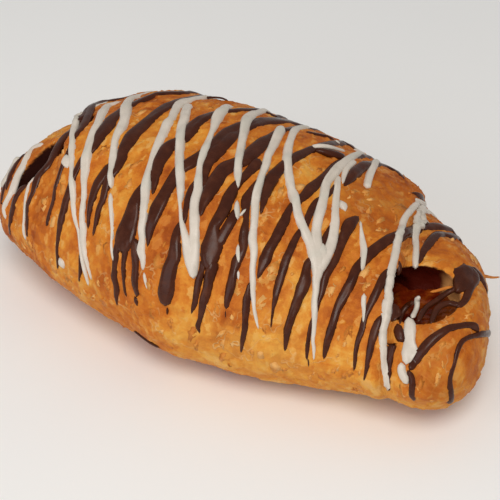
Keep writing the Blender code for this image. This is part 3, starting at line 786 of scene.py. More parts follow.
def thicken(shape, lower_places):
    """Close a sheet with a lower side, whose places are found by those of its upper side."""
    lower = bmesh.ops.extrude_face_region(shape, geom=shape.faces[:], use_keep_orig=True)["geom"]
    for element in lower:
        if isinstance(element, bmesh.types.BMVert):
            element.co = lower_places[element.co.copy().freeze()]
    bmesh.ops.recalc_face_normals(shape, faces=shape.faces)


def tree_of(piece):
    """A piece's faces as a tree onto which rays are cast."""
    bpy.context.view_layer.update()
    return BVHTree.FromObject(piece, bpy.context.evaluated_depsgraph_get())


def evaluated_shape(piece):
    """A bmesh of a piece with its modifiers applied."""
    bpy.context.view_layer.update()
    evaluated = piece.evaluated_get(bpy.context.evaluated_depsgraph_get())
    shape = bmesh.new()
    shape.from_mesh(evaluated.to_mesh())
    evaluated.to_mesh_clear()
    return shape


def finish_mesh(piece, shape):
    """Put a bmesh in place of a piece's mesh and its modifiers."""
    piece.modifiers.clear()
    shape.to_mesh(piece.data)
    shape.free()
    piece.data.shade_smooth()


def remesh(piece, voxel, smoothing):
    """Give a piece an even mesh, smoothed a little. Its bmesh is returned."""
    modifier = piece.modifiers.new("remesh", "REMESH")
    modifier.mode = "VOXEL"
    modifier.voxel_size = voxel
    shape = evaluated_shape(piece)
    piece.modifiers.clear()
    for _ in range(smoothing):
        bmesh.ops.smooth_vert(
            shape, verts=shape.verts, factor=0.5, use_axis_x=True, use_axis_y=True, use_axis_z=True
        )
    return shape


def make_dough():
    """The roll with its edges, patch and bumps, before anything is cut out of it."""
    shape = bmesh.new()
    bmesh.ops.create_uvsphere(
        shape,
        u_segments=DOUGH_AROUND,
        v_segments=DOUGH_ALONG,
        radius=1,
        matrix=Matrix.Rotation(math.radians(90), 4, "Y"),
    )
    for vertex in shape.verts:
        point = smooth_dough(vertex.co)
        angle, outward = place_on_roll(point)
        point += outward * relief(point, angle)
        vertex.co = (point.x, point.y, max(point.z, 0))
    bmesh.ops.recalc_face_normals(shape, faces=shape.faces)
    return shape


def inside_hollow(point, centre, radii, turn=None):
    """How deep a point lies in an ellipsoid: 1 on its surface, less within, more outside."""
    offset = point - centre
    if turn is not None:
        offset = turn.transposed() @ offset
    return Vector((offset.x / radii.x, offset.y / radii.y, offset.z / radii.z)).length


def flake_relief(point):
    """Thin baked flakes: irregular plates that lie a little above and below each other."""
    warped = point + noise.noise_vector(point / (PLATE_WARP[0] * MM)) * PLATE_WARP[1] * MM
    out = 0
    for size, height in PLATE_NETS:
        distances, centres = noise.voronoi(warped / (size * MM))
        plate = noise.noise(centres[0] * 5.3)
        border = math.exp(-(distances[1] - distances[0]) * BORDER_SHARPNESS)
        out += height * MM * (PLATE_LEVEL * plate + PLATE_BORDER * border)
    out += PLATE_SWELL[1] * MM * noise.fractal(point / (PLATE_SWELL[0] * MM), 0.7, 2.0, 4)
    out += PLATE_GRAIN[1] * MM * noise.noise(warped / (PLATE_GRAIN[0] * MM))
    return out


def spots_share(point, spots):
    """How strongly some ragged spots show at a point, from their centres, radii and amounts."""
    total = 0
    for centre, radius, amount in spots:
        ragged = 1 + 0.6 * noise.noise(point / (3 * MM))
        total += amount * math.exp(-((point - centre).length / (radius * MM * ragged)) ** 2)
    return total


def crust_marks(point, surface, brown_and_shade_spots, pale_and_lit_spots):
    """The values that the crust's material reads at a point."""
    angle, _ = place_on_roll(point)
    pocket = min(inside_hollow(point, *pocket_shape()), inside_hollow(point, TUNNEL_CENTRE, TUNNEL_RADII))
    slot = inside_hollow(point, SLOT_CENTRE, SLOT_RADII, slot_turn())
    buried = smooth_share((surface.find_nearest(point)[3] - CUT_EDGE) / CUT_EDGE)
    inside = (1 - smooth_share((pocket - POCKET_LOOK[0]) / POCKET_LOOK[1])) * buried
    # Deep in the slot the dough is painted near black, as shade.
    depth = (1 - smooth_share((slot - SLOT_LOOK[0]) / SLOT_LOOK[1])) * buried
    nearest = 99
    layered = 0
    for edge in EDGES:
        past, shown = past_edge(edge, point)
        near = edge["layers"] * shown * math.exp(-max(past, -3 * past) / LAYERS_SEEN)
        if near > layered:
            layered = near
            nearest = past / MM
    dark = PATCH_BROWN * patch_share(point, angle)
    dark += BASE_BROWN * smooth_share((BASE_BROWN_ABOVE + BASE_FADE - point.z) / BASE_FADE)
    # Listed browner spots, some of them painted shade.
    dark += spots_share(point, brown_and_shade_spots)
    # The jam stain and painted shade deep in the open end fade out towards its right wall.
    jam_and_shade_end = JAM_AND_SHADE_END + JAM_AND_SHADE_RAGGED * noise.noise(point / (4 * MM))
    jam_and_shade = smooth_share((jam_and_shade_end - point.x) / JAM_AND_SHADE_FADE)
    return {
        "baked_and_shaded": share(dark),
        "pale_and_lit": share(spots_share(point, pale_and_lit_spots)),
        "inside": inside,
        "jam_stain_and_shade": inside * jam_and_shade,
        "slot": depth,
        "layered": share(layered),
        "past": nearest,
    }


def make_crust():
    """The crust: the roll with its hollows, then its flakes."""
    dough = make_dough()
    surface = BVHTree.FromBMesh(dough)
    crust = new_piece("crust", dough)
    tools = bpy.data.collections.new("tools")
    bpy.context.scene.collection.children.link(tools)
    hollows = {
        "pocket": ellipsoid(*pocket_shape()),
        "tunnel": ellipsoid(TUNNEL_CENTRE, TUNNEL_RADII),
        "core_space": core(GAP),
        "slot_space": ellipsoid(SLOT_CENTRE, SLOT_RADII, slot_turn()),
    }
    for name, shape in hollows.items():
        bmesh.ops.recalc_face_normals(shape, faces=shape.faces)
        if name != "core_space":
            for vertex in shape.verts:
                vertex.co += noise.noise_vector(vertex.co / (WALL_UNEVEN[0] * MM)) * WALL_UNEVEN[1] * MM
        tool = new_piece(name, shape)
        bpy.context.collection.objects.unlink(tool)
        tools.objects.link(tool)
    boolean = crust.modifiers.new("hollows", "BOOLEAN")
    boolean.operation = "DIFFERENCE"
    boolean.operand_type = "COLLECTION"
    boolean.collection = tools
    boolean.solver = "MANIFOLD"
    cut = evaluated_shape(crust)
    crust.modifiers.clear()
    cut.to_mesh(crust.data)
    cut.free()
    for tool in list(tools.objects):
        bpy.data.objects.remove(tool, do_unlink=True)
    bpy.data.collections.remove(tools)
    shape = remesh(crust, CRUST_VOXEL, 1)
    shape.normal_update()
    spots = [
        [(cast_pixel(surface, x, y)[0], radius, amount) for x, y, radius, amount in places]
        for places in (BROWN_AND_SHADE_PLACES, PALE_AND_LIT_PLACES)
    ]
    names = ("baked_and_shaded", "pale_and_lit", "inside", "jam_stain_and_shade", "slot", "layered", "past")
    layers = {name: shape.verts.layers.float.new(name) for name in names}
    moved = []
    for vertex in shape.verts:
        marks = crust_marks(vertex.co, surface, *spots)
        for name in names:
            vertex[layers[name]] = marks[name]
        hidden = max(marks["inside"], marks["slot"])
        at_base = share(vertex.co.z / BASE_FADE)
        lift = vertex.normal * flake_relief(vertex.co) * (1 - RELIEF_LOST * hidden) * at_base
        moved.append(vertex.co + lift)
    for vertex, place in zip(shape.verts, moved):
        vertex.co = place
        vertex.co.z = max(vertex.co.z, 0)
    finish_mesh(crust, shape)
    return crust, surface


def make_jam():
    """The jam: a pool with a lumpy wet surface, joined to a core that runs through the roll."""
    normal = Vector((*JAM_TILT, 1)).normalized()
    level = Vector((POCKET_CENTRE.x, POCKET_CENTRE.y, JAM_LEVEL))
    shape = bmesh.new()
    for centre, radii in ((POCKET_CENTRE, POCKET_RADII), (TUNNEL_CENTRE, TUNNEL_RADII)):
        part = ellipsoid(centre, radii + Vector((1, 1, 1)) * JAM_GROWS)
        bmesh.ops.bisect_plane(
            part,
            geom=part.verts[:] + part.edges[:] + part.faces[:],
            plane_co=level,
            plane_no=normal,
            clear_outer=True,
        )
        bmesh.ops.holes_fill(part, edges=[edge for edge in part.edges if edge.is_boundary])
        bmesh.ops.recalc_face_normals(part, faces=part.faces)
        merge(shape, part)
    bar = core(0)
    bmesh.ops.recalc_face_normals(bar, faces=bar.faces)
    merge(shape, bar)
    jam = new_piece("fruit_jam", shape)
    shape = remesh(jam, JAM_VOXEL, 2)
    for vertex in shape.verts:
        height = (vertex.co - level).dot(normal)
        if height > -JAM_SURFACE_DEPTH and vertex.co.x > JAM_SURFACE_FROM:
            lumps = sum(rise * noise.noise(vertex.co / (size * MM)) for size, rise in JAM_LUMPS)
            vertex.co += normal * lumps * MM
    finish_mesh(jam, shape)
    return jam


def drape(surface, x, angle):
    """The point of the dough at x and an angle."""
    middle, half_width, rise, _ = section(x)
    outward = Vector((0, half_width * math.sin(angle), max(rise, middle.z) * math.cos(angle)))
    return surface.ray_cast(middle + outward * RAY_START, -outward)[0]


def line_on_crust(surface, line, back):
    """The points of one line in space with their widths, from its end at the back to its foot, and how
    many of them lie behind its head."""
    points = []
    over = []
    last = len(line) - 1
    for index, (x, y, width) in enumerate(line):
        hit, _ = cast_pixel(surface, x, y)
        before = line[max(index - 1, 0)]
        after = line[min(index + 1, last)]
        run = Vector((after[0] - before[0], after[1] - before[1])).normalized()
        half = width / 2
        edges = []
        for sign in (-1, 1):
            edge = surface.ray_cast(*pixel_ray(x - run.y * half * sign, y + run.x * half * sign))[0]
            if edge is not None:
                edges.append((edge - hit).length)
        plain = width * PHOTO_DISTANCE / PHOTO_FOCAL
        across = sum(edges) / len(edges) * 2 if edges else plain
        points.append((hit, min(max(across, plain), plain * MOST_STRETCH)))
    if back is not None:
        back_x, number = back
        back_angle = BACK_ANGLE + BACK_SPREAD * math.sin(2.4 * number)
        start_angle, _ = place_on_roll(points[0][0])
        start_x = points[0][0].x
        width = max(points[0][1], points[1][1])
        for step in range(BACK_STEPS, 0, -1):
            t = step / BACK_STEPS
            x = start_x + (back_x * MM - start_x) * t ** 2
            hit = drape(surface, x, start_angle + (back_angle - start_angle) * t)
            over.append((hit, width * (1 - BACK_NARROWS * t)))
    return over + points, len(over)


def spline(points, step):
    """Evenly spaced points of a smooth curve through points with widths."""
    samples = []
    last = len(points) - 1
    for index in range(last):
        before, start = points[max(index - 1, 0)], points[index]
        end, after = points[index + 1], points[min(index + 2, last)]
        for part in range(SPLINE_PARTS):
            t = part / SPLINE_PARTS
            weights = (
                0.5 * (-t + 2 * t ** 2 - t ** 3),
                0.5 * (2 - 5 * t ** 2 + 3 * t ** 3),
                0.5 * (t + 4 * t ** 2 - 3 * t ** 3),
                0.5 * (-t ** 2 + t ** 3),
            )
            nearby = zip(weights, (before, start, end, after))
            place = sum((weight * item[0] for weight, item in nearby), Vector())
            samples.append((place, start[1] + (end[1] - start[1]) * t))
    samples.append(points[-1])
    lengths = [0]
    for first, second in zip(samples, samples[1:]):
        lengths.append(lengths[-1] + (second[0] - first[0]).length)
    count = max(4, round(lengths[-1] / step))
    even = []
    index = 0
    for number in range(count + 1):
        target = lengths[-1] * number / count
        while index < len(samples) - 2 and lengths[index + 1] < target:
            index += 1
        span = lengths[index + 1] - lengths[index]
        t = share((target - lengths[index]) / span) if span > 0 else 0
        place = samples[index][0].lerp(samples[index + 1][0], t)
        even.append((place, samples[index][1] + (samples[index + 1][1] - samples[index][1]) * t, target))
    return even


def lengthened(points):
    """A line made longer at both ends, to make room for its rounded tips."""
    first, second, before_last, last = points[0], points[1], points[-2], points[-1]
    start = first[0] + (first[0] - second[0]).normalized() * first[1] * TIP_REACH
    end = last[0] + (last[0] - before_last[0]).normalized() * last[1] * TIP_REACH
    return [(start, first[1]), *points, (end, last[1])]


def smooth_heights(heights):
    """Even out the heights along a strip, so that it flows over what it crosses, but never below it."""
    rows = len(heights)

    def around(table, row, spread):
        near = [table[min(max(row + shift, 0), rows - 1)] for shift in range(-spread, spread + 1)]
        return zip(*near)

    raised = [[max(column) for column in around(heights, row, 1)] for row in range(rows)]
    blurred = [[sum(column) / len(column) for column in around(raised, row, 2)] for row in range(rows)]
    return [[max(pair) for pair in zip(*both)] for both in zip(heights, blurred)]


def row_frames(samples, normals, seed):
    """For each sample of a line: its place, the direction across, the outward normal, width and taper."""
    rows = len(samples)
    length = samples[-1][2]
    frames = []
    for row, (place, width, run) in enumerate(samples):
        ahead = samples[min(row + 1, rows - 1)][0] - samples[max(row - 1, 0)][0]
        normal = normals.find_nearest(place)[1]
        side = normal.cross(ahead).normalized()
        normal = side.cross(ahead).normalized()
        if normal.dot(normals.find_nearest(place)[1]) < 0:
            normal = -normal
        width *= 1 + WIDTH_VARIES * noise.noise(Vector((run / (4 * MM), seed, 0)))
        from_tip = min(run, length - run)
        taper = math.sqrt(max(1 - (1 - share(from_tip / (width * 0.5))) ** 2, 0.02))
        frames.append((place, side, normal, width, taper))
    return frames


def rise_above(trees, spot, normal, lowest):
    """The highest of some surfaces over a spot, along a normal."""
    rises = [lowest]
    for tree in trees:
        hit = tree.ray_cast(spot + normal * CAST_ABOVE, -normal)[0]
        if hit is not None:
            rises.append((hit - spot).dot(normal))
    return max(rises)


def strip(points, behind_head, height_share, most_sunk, under, crossed, surface, seed):
    """A strip of chocolate along a line: a rounded ridge that lies on what is under it."""
    samples = spline(lengthened(points), STRIP_STEP)
    rows = len(samples)
    frames = row_frames(samples, surface, seed)
    head = points[behind_head][0]
    head_run = min(samples, key=lambda sample: (sample[0] - head).length)[2] if behind_head else 0
    to_camera = -photo_axes()[1]
    heights = []
    sinking = []
    raised = []
    for (place, side, normal, width, taper), (_, _, run) in zip(frames, samples):
        seen = smooth_share((normal.dot(to_camera) + HIDDEN_TO) / (HIDDEN_TO - HIDDEN_FROM))
        sunk = smooth_share((head_run - run) / HEAD_FADE) * seen
        sinking.append(sunk)
        line = []
        for column in range(STRIP_ACROSS):
            u = 2 * column / (STRIP_ACROSS - 1) - 1
            spot = place + side * width / 2 * taper * u
            level = rise_above(under, spot, normal, -MM)
            line.append(level + (rise_above(crossed, spot, normal, level) - level) * (1 - sunk))
        heights.append(line)
        level = rise_above(under, place, normal, -MM)
        raised.append(share((line[STRIP_ACROSS // 2] - level) / CROSSING_RISE))
    heights = smooth_heights(heights)
    shape = bmesh.new()
    bmesh.ops.create_grid(shape, x_segments=rows - 1, y_segments=STRIP_ACROSS - 1, size=1)
    crossing_layer = shape.verts.layers.float.new("crossing")
    cells = []
    for vertex in shape.verts:
        row = round((vertex.co.x + 1) / 2 * (rows - 1))
        near = raised[max(row - 1, 0):row + 2]
        vertex[crossing_layer] = sum(near) / len(near)
        column = round((vertex.co.y + 1) / 2 * (STRIP_ACROSS - 1))
        cells.append((vertex, row, column))
    lower_places = {}
    for vertex, row, column in cells:
        place, side, normal, width, taper = frames[row]
        u = 2 * column / (STRIP_ACROSS - 1) - 1
        top = min(height_share * width, MOST_HEIGHT) * taper ** 0.5 * (1 - most_sunk * sinking[row])
        top *= 1 + HEIGHT_VARIES * noise.noise(Vector((row * STRIP_STEP / (3 * MM), seed + 7, 0)))
        crown = max(1 - abs(u) ** RIDGE_POWERS[0], 0) ** RIDGE_POWERS[1]
        spot = place + side * width / 2 * taper * u
        level = heights[row][column] - STRIP_SINK
        vertex.co = spot + normal * (level + (top + STRIP_SINK) * crown)
        lower_places[vertex.co.copy().freeze()] = spot + normal * (level - STRIP_THICKNESS)
    thicken(shape, lower_places)
    return shape


def strand(points, surface, seed):
    """A round strand of chocolate that hangs free between its ends."""
    samples = spline(points, STRIP_STEP)
    rows = len(samples)
    frames = row_frames(samples, surface, seed)
    shape = bmesh.new()
    bmesh.ops.create_grid(shape, x_segments=rows - 1, y_segments=STRAND_SIDES, size=1)
    for vertex in shape.verts:
        row = round((vertex.co.x + 1) / 2 * (rows - 1))
        turn = math.pi * (vertex.co.y + 1)
        place, side, normal, width, taper = frames[row]
        radius = width / 2 * taper
        vertex.co = place + side * radius * math.cos(turn) + normal * STRAND_FLAT * radius * math.sin(turn)
    bmesh.ops.remove_doubles(shape, verts=shape.verts, dist=WELD)
    bmesh.ops.holes_fill(shape, edges=[edge for edge in shape.edges if edge.is_boundary])
    bmesh.ops.recalc_face_normals(shape, faces=shape.faces)
    return shape


def join_shapes(name, shapes):
    """One piece from several closed shapes."""
    whole = bmesh.new()
    for shape in shapes:
        merge(whole, shape)
    piece = new_piece(name, whole)
    piece.data.shade_smooth()
    return piece


def strand_points(surface, line, sag):
    """The points of a strand, at depths between those of its two ends on the dough."""
    depths = []
    for x, y, _ in (line[0], line[-1]):
        hit, _ = cast_pixel(surface, x, y)
        depths.append((hit - pixel_ray(x, y)[0]).length)
    points = []
    for index, (x, y, width) in enumerate(line):
        t = index / (len(line) - 1)
        origin, direction = pixel_ray(x, y)
        depth = depths[0] + (depths[1] - depths[0]) * t + sag * MM * math.sin(math.pi * t) ** 0.5
        points.append((origin + direction * depth, width * PHOTO_DISTANCE / PHOTO_FOCAL))
    return points


def make_drizzle(name, finish, surface, under, crossed):
    """All the lines and strands of one chocolate."""
    shapes = []
    for number, (line_name, line) in enumerate(finish["lines"].items()):
        points, behind_head = line_on_crust(surface, line, finish["back"].get(line_name))
        most_sunk = WHITE_UNSEEN if crossed and line_name in UNSEEN_HEADS else finish["sunk"]
        seed = number * SEED_STEP
        shapes.append(
            strip(points, behind_head, finish["height"], most_sunk, under, crossed, surface, seed)
        )
    for number, (sag, line) in enumerate(finish["strands"].values()):
        shapes.append(strand(strand_points(surface, line, sag), surface, number * SEED_STEP + 90))
    return join_shapes(name, shapes)


def lay_flake(shape, crust_tree, centre, normal, turn, half_length, half_width, lift, seed):
    """Lay a round thin plate on the crust as an irregular flake that curls up along one side."""
    lengthwise = (Vector((1, 0, 0)) - normal * normal.x).normalized()
    lengthwise.rotate(Quaternion(normal, turn))
    across = normal.cross(lengthwise)
    lower_places = {}
    for vertex in shape.verts:
        plate = vertex.co.copy()
        spread = 1 + FLAKE_RAGGED * noise.noise(plate * 1.8 + Vector((seed, 0, 0)))
        spot = centre + lengthwise * plate.x * half_length * spread + across * plate.y * half_width * spread
        spot = crust_tree.find_nearest(spot)[0]
        vertex.co = spot + normal * (FLAKE_ABOVE + max(plate.y + 0.2, 0) ** 2 * lift)
        lower_places[vertex.co.copy().freeze()] = vertex.co - normal * FLAKE_THICKNESS
    thicken(shape, lower_places)


def give_tone(shape, tone):
    """Store the value that a loose bit's material reads."""
    layer = shape.verts.layers.float.new("tone")
    for vertex in shape.verts:
        vertex[layer] = tone


def flake_shape():
    """A round plate with one ring inside its rim."""
    shape = bmesh.new()
    bmesh.ops.create_circle(shape, cap_ends=True, segments=FLAKE_SIDES, radius=1)
    bmesh.ops.inset_region(shape, faces=shape.faces[:], thickness=FLAKE_RIM)
    return shape


def bare_crust(spot, chocolate_trees):
    """Whether a spot on the crust is clear of the chocolate, the open end and the slot."""
    pocket = inside_hollow(spot, *pocket_shape())
    slot = inside_hollow(spot, SLOT_CENTRE, SLOT_RADII, slot_turn())
    if min(pocket, slot) < POCKET_LOOK[0]:
        return False
    return all(tree.find_nearest(spot, FLAKE_CLEAR)[0] is None for tree in chocolate_trees)


def make_flakes(surface, crust_tree, chocolate_trees):
    """Thin flakes that have lifted off the top layer of the crust."""
    shapes = []
    pixel = PHOTO_DISTANCE / PHOTO_FOCAL
    for number, (x, y, half_length, half_width, turn) in enumerate(FLAKE_PLACES):
        spot, _ = cast_pixel(surface, x, y)
        normal = surface.find_nearest(spot)[1]
        shape = flake_shape()
        lay_flake(
            shape, crust_tree, spot, normal, math.radians(turn), half_length * pixel, half_width * pixel,
            PLACED_LIFT, number * 1.7,
        )
        shapes.append(shape)
    noise.seed_set(FLAKE_SEED)
    for number in range(FLAKE_COUNT):
        x, angle, length, slim, turn, lift = (noise.random() for _ in range(6))
        spot = drape(crust_tree, (x - 0.5) * LENGTH * FLAKE_ALONG, between(FLAKE_ANGLES, angle))
        if spot is None or spot.z < FLAKE_LOWEST or not bare_crust(spot, chocolate_trees):
            continue
        normal = surface.find_nearest(spot)[1]
        half_length = between(FLAKE_LENGTHS, length ** 2)
        half_width = half_length * (FLAKE_SLIMMEST + FLAKE_SLIM_RANGE * slim)
        turn = math.pi / 2 + FLAKE_TURN * (turn - 0.5)
        shape = flake_shape()
        lay_flake(
            shape, crust_tree, spot, normal, turn, half_length, half_width, FLAKE_LIFT * lift ** 2,
            number * 1.3,
        )
        shapes.append(shape)
    for number, line in enumerate(FLAKE_STRANDS):
        shapes.append(strand(strand_points(surface, line, 0), surface, number * SEED_STEP + 50))
    for shape in shapes:
        give_tone(shape, noise.random())
    return join_shapes("pastry_flakes", shapes)


def make_crumbs(surface, crust_tree, chocolate_trees):
    """Small crumbs that lie on the crust."""
    shapes = []
    noise.seed_set(CRUMB_SEED)
    for _ in range(CRUMB_COUNT):
        x, angle, size = (noise.random() for _ in range(3))
        spot = drape(crust_tree, (x - 0.5) * LENGTH * CRUMB_ALONG, between(CRUMB_ANGLES, angle))
        if spot is None or not bare_crust(spot, chocolate_trees):
            continue
        radius = between(CRUMB_RADII, size ** 2)
        shape = bmesh.new()
        bmesh.ops.create_icosphere(shape, subdivisions=2, radius=radius)
        for vertex in shape.verts:
            vertex.co += noise.noise_vector(vertex.co / radius + spot / MM) * CRUMB_ROUGH * radius
        place = spot + surface.find_nearest(spot)[1] * CRUMB_SITS * radius
        bmesh.ops.translate(shape, verts=shape.verts, vec=place)
        give_tone(shape, size)
        shapes.append(shape)
    return join_shapes("pastry_crumbs", shapes)


def give_inputs(tree, node, inputs):
    """Give some inputs of a node a value or a link."""
    for key, value in inputs.items():
        socket = node.inputs[key]
        if isinstance(value, bpy.types.NodeSocket):
            tree.links.new(value, socket)
        else:
            socket.default_value = value


def add_node(tree, kind, inputs=None, out=0, stops=None, **settings):
    """Add a shader node with its settings, inputs and the stops of its ramp. One output is returned."""
    node = tree.nodes.new("ShaderNode" + kind)
    for name, value in settings.items():
        setattr(node, name, value)
    give_inputs(tree, node, inputs or {})
    if stops:
        while len(node.color_ramp.elements) < len(stops):
            node.color_ramp.elements.new(0.5)
        for element, (position, colour) in zip(node.color_ramp.elements, stops):
            element.position = position
            element.color = to_linear(colour)
    return node.outputs[out]


def new_material(name):
    """A material, its tree, its shader and the place on the piece that its patterns use."""
    material = bpy.data.materials.new(name)
    material.use_nodes = True
    tree = material.node_tree
    place = add_node(tree, "TexCoord", out="Object")
    return material, tree, tree.nodes["Principled BSDF"], place


def per_metre(millimetres):
    """The scale of a pattern whose cells have a size in millimetres."""
    return 1000 / millimetres


def baked_pastry():
    """Laminated dough, egg-washed and baked: golden, matt to slightly buttery, mottled with pale
    flakes where the top layer has lifted, and darker where a layer has broken away."""
    material, tree, shader, place = new_material("baked_puff_pastry")
    # Plates of the top layer are cells of 6 mm and of 2.6 mm, whose outlines are pushed about. They are
    # longer round the roll than along it, as the dough was stretched when it was rolled.
    drawn_out = add_node(tree, "VectorMath", {0: place, 1: (1.7, 1, 1)}, operation="MULTIPLY")
    tones = []
    for size, push, pushed_over, softness in ((6, 4.5, 4, 0.9), (2.6, 3.4, 2, 0.5)):
        warp = add_node(
            tree,
            "TexNoise",
            {"Vector": place, "Scale": per_metre(pushed_over), "Detail": 4, "Roughness": 0.65},
            out="Color",
        )
        centred = add_node(tree, "VectorMath", {0: warp, 1: (0.5, 0.5, 0.5)}, operation="SUBTRACT")
        moved = add_node(tree, "VectorMath", {0: centred, "Scale": push * MM}, operation="SCALE")
        warped = add_node(tree, "VectorMath", {0: drawn_out, 1: moved}, operation="ADD")
        cells = add_node(
            tree,
            "TexVoronoi",
            {"Vector": warped, "Scale": per_metre(size), "Smoothness": softness},
            out="Color",
            feature="SMOOTH_F1",
        )
        tones.append(add_node(tree, "SeparateColor", {"Color": cells}))
    mottle = add_node(
        tree,
        "TexNoise",
        {"Vector": place, "Scale": per_metre(18), "Detail": 8, "Roughness": 0.68, "Distortion": 0.5},
    )
    grain = add_node(
        tree, "TexNoise", {"Vector": place, "Scale": per_metre(1.0), "Detail": 4, "Roughness": 0.65}
    )
    mixed = add_node(tree, "Math", {0: tones[0], 1: 0.11, 2: mottle}, operation="MULTIPLY_ADD")
    mixed = add_node(tree, "Math", {0: tones[1], 1: 0.15, 2: mixed}, operation="MULTIPLY_ADD")
    mixed = add_node(tree, "Math", {0: grain, 1: 0.16, 2: mixed}, operation="MULTIPLY_ADD")
    # The low front is paler than the top: partly because the top browns first, partly painted light on the
    # low front.
    height_above = add_node(tree, "SeparateXYZ", {0: place}, out="Z")
    low = add_node(
        tree,
        "MapRange",
        {"Value": height_above, "From Min": 30 * MM, "From Max": 6 * MM, "To Min": 0, "To Max": 0.09},
    )
    mixed = add_node(tree, "Math", {0: mixed, 1: low}, operation="ADD")
    colour = add_node(
        tree,
        "ValToRGB",
        {"Fac": mixed},
        stops=(
            (0.50, "#984710"), (0.62, "#b76119"), (0.71, "#c77221"), (0.80, "#d4882e"), (0.90, "#dda045"),
            (0.98, "#e3b062"),
        ),
    )
    # Pale flakes that have lifted, from the upper end of the small cells' tones.
    picked = add_node(
        tree, "MapRange", {"Value": tones[1], "From Min": 0.80, "From Max": 0.86, "To Min": 0, "To Max": 1}
    )
    patchy = add_node(
        tree,
        "MapRange",
        {"Value": mottle, "From Min": 0.44, "From Max": 0.56, "To Min": 0.15, "To Max": 0.7},
    )
    flake = add_node(tree, "Math", {0: picked, 1: patchy}, operation="MULTIPLY")
    # Fewer have lifted low down, where the crust is smooth.
    lifted_above = add_node(
        tree,
        "MapRange",
        {"Value": height_above, "From Min": 6 * MM, "From Max": 20 * MM, "To Min": 0.35, "To Max": 1},
    )
    flake = add_node(tree, "Math", {0: flake, 1: lifted_above}, operation="MULTIPLY")
    colour = add_node(tree, "Mix", {0: flake, 6: colour, 7: to_linear("#dba258")}, out=2, data_type="RGBA")
    # Paler at the listed places: painted light on the low front.
    pale_and_lit = add_node(tree, "Attribute", out="Fac", attribute_name="pale_and_lit")
    paled_and_lit = add_node(tree, "Math", {0: pale_and_lit, 1: mottle}, operation="MULTIPLY")
    colour = add_node(tree, "Mix", {0: paled_and_lit, 6: colour, 7: to_linear("#e2ac4e")}, out=2, data_type="RGBA")
    # Thin pale edges of layers that curl up: the level lines of a noise, broken by another.
    curl = add_node(
        tree, "TexNoise", {"Vector": place, "Scale": per_metre(11), "Detail": 3, "Roughness": 0.55}
    )
    curl = add_node(tree, "Math", {0: curl, 1: 0.5}, operation="SUBTRACT")
    curl = add_node(tree, "Math", {0: curl}, operation="ABSOLUTE")
    curl = add_node(
        tree, "MapRange", {"Value": curl, "From Min": 0.0, "From Max": 0.012, "To Min": 1, "To Max": 0}
    )
    broken = add_node(
        tree, "TexNoise", {"Vector": place, "Scale": per_metre(6), "Detail": 2, "Roughness": 0.5}
    )
    broken = add_node(
        tree, "MapRange", {"Value": broken, "From Min": 0.50, "From Max": 0.60, "To Min": 0, "To Max": 0.55}
    )
    broken = add_node(tree, "Math", {0: pale_and_lit, 1: 0.5, 2: broken}, operation="MULTIPLY_ADD")
    line = add_node(tree, "Math", {0: curl, 1: broken}, operation="MULTIPLY")
    colour = add_node(tree, "Mix", {0: line, 6: colour, 7: to_linear("#e3b577")}, out=2, data_type="RGBA")
    # Fine browned specks in the skin.
    speck = add_node(
        tree, "MapRange", {"Value": grain, "From Min": 0.60, "From Max": 0.78, "To Min": 0, "To Max": 0.5}
    )
    colour = add_node(tree, "Mix", {0: speck, 6: colour, 7: to_linear("#9a4a14")}, out=2, data_type="RGBA")
    # Browner where the crust baked darker, and painted shade at some listed spots.
    baked_and_shaded = add_node(tree, "Attribute", out="Fac", attribute_name="baked_and_shaded")
    browned_and_shaded = add_node(tree, "Math", {0: baked_and_shaded, 1: mottle}, operation="MULTIPLY")
    colour = add_node(
        tree, "Mix", {0: browned_and_shaded, 6: colour, 7: to_linear("#9d4c14")}, out=2, data_type="RGBA"
    )
    # Stacked layers at the cut edges of the wrap, about 0.7 mm each.
    past = add_node(tree, "Attribute", out="Fac", attribute_name="past")
    layers = add_node(tree, "Math", {0: grain, 1: 0.7, 2: past}, operation="MULTIPLY_ADD")
    layers = add_node(tree, "Math", {0: layers, 1: 8.5}, operation="MULTIPLY")
    layers = add_node(tree, "Math", {0: layers}, operation="SINE")
    layer_colour = add_node(
        tree, "ValToRGB", {"Fac": layers}, stops=((0.0, "#96531f"), (0.4, "#b0702f"), (0.9, "#c98f4e"))
    )
    layered = add_node(tree, "Attribute", out="Fac", attribute_name="layered")
    show = add_node(tree, "Math", {0: layered, 1: 0.75}, operation="MULTIPLY")
    colour = add_node(tree, "Mix", {0: show, 6: colour, 7: layer_colour}, out=2, data_type="RGBA")
    # Moist dough inside the open end; jam on its far wall, darkened further as painted shade deep in the
    # opening; and the deep slot, painted near black as shade.
    for attribute, tone in (("inside", "#cd9358"), ("jam_stain_and_shade", "#4d0f02"), ("slot", "#280a03")):
        amount = add_node(tree, "Attribute", out="Fac", attribute_name=attribute)
        colour = add_node(tree, "Mix", {0: amount, 6: colour, 7: to_linear(tone)}, out=2, data_type="RGBA")
    gloss = add_node(
        tree,
        "MapRange",
        {"Value": mottle, "From Min": 0.3, "From Max": 0.7, "To Min": 0.66, "To Max": 0.50},
    )
    # The torn dough in the slot is quite matt.
    gloss = add_node(tree, "Math", {0: amount, 1: 0.4, 2: gloss}, operation="MULTIPLY_ADD")
    height = add_node(tree, "Math", {0: tones[0], 1: 0.5, 2: grain}, operation="MULTIPLY_ADD")
    height = add_node(tree, "Math", {0: tones[1], 1: 0.45, 2: height}, operation="MULTIPLY_ADD")
    height = add_node(tree, "Math", {0: height, 1: line}, operation="ADD")
    bump = add_node(tree, "Bump", {"Height": height, "Strength": 0.7, "Distance": 0.32 * MM})
    give_inputs(tree, shader, {
        "Base Color": colour,
        "Roughness": gloss,
        "Specular IOR Level": 0.18,
        "IOR": 1.45,
        "Normal": bump,
    })
    return material


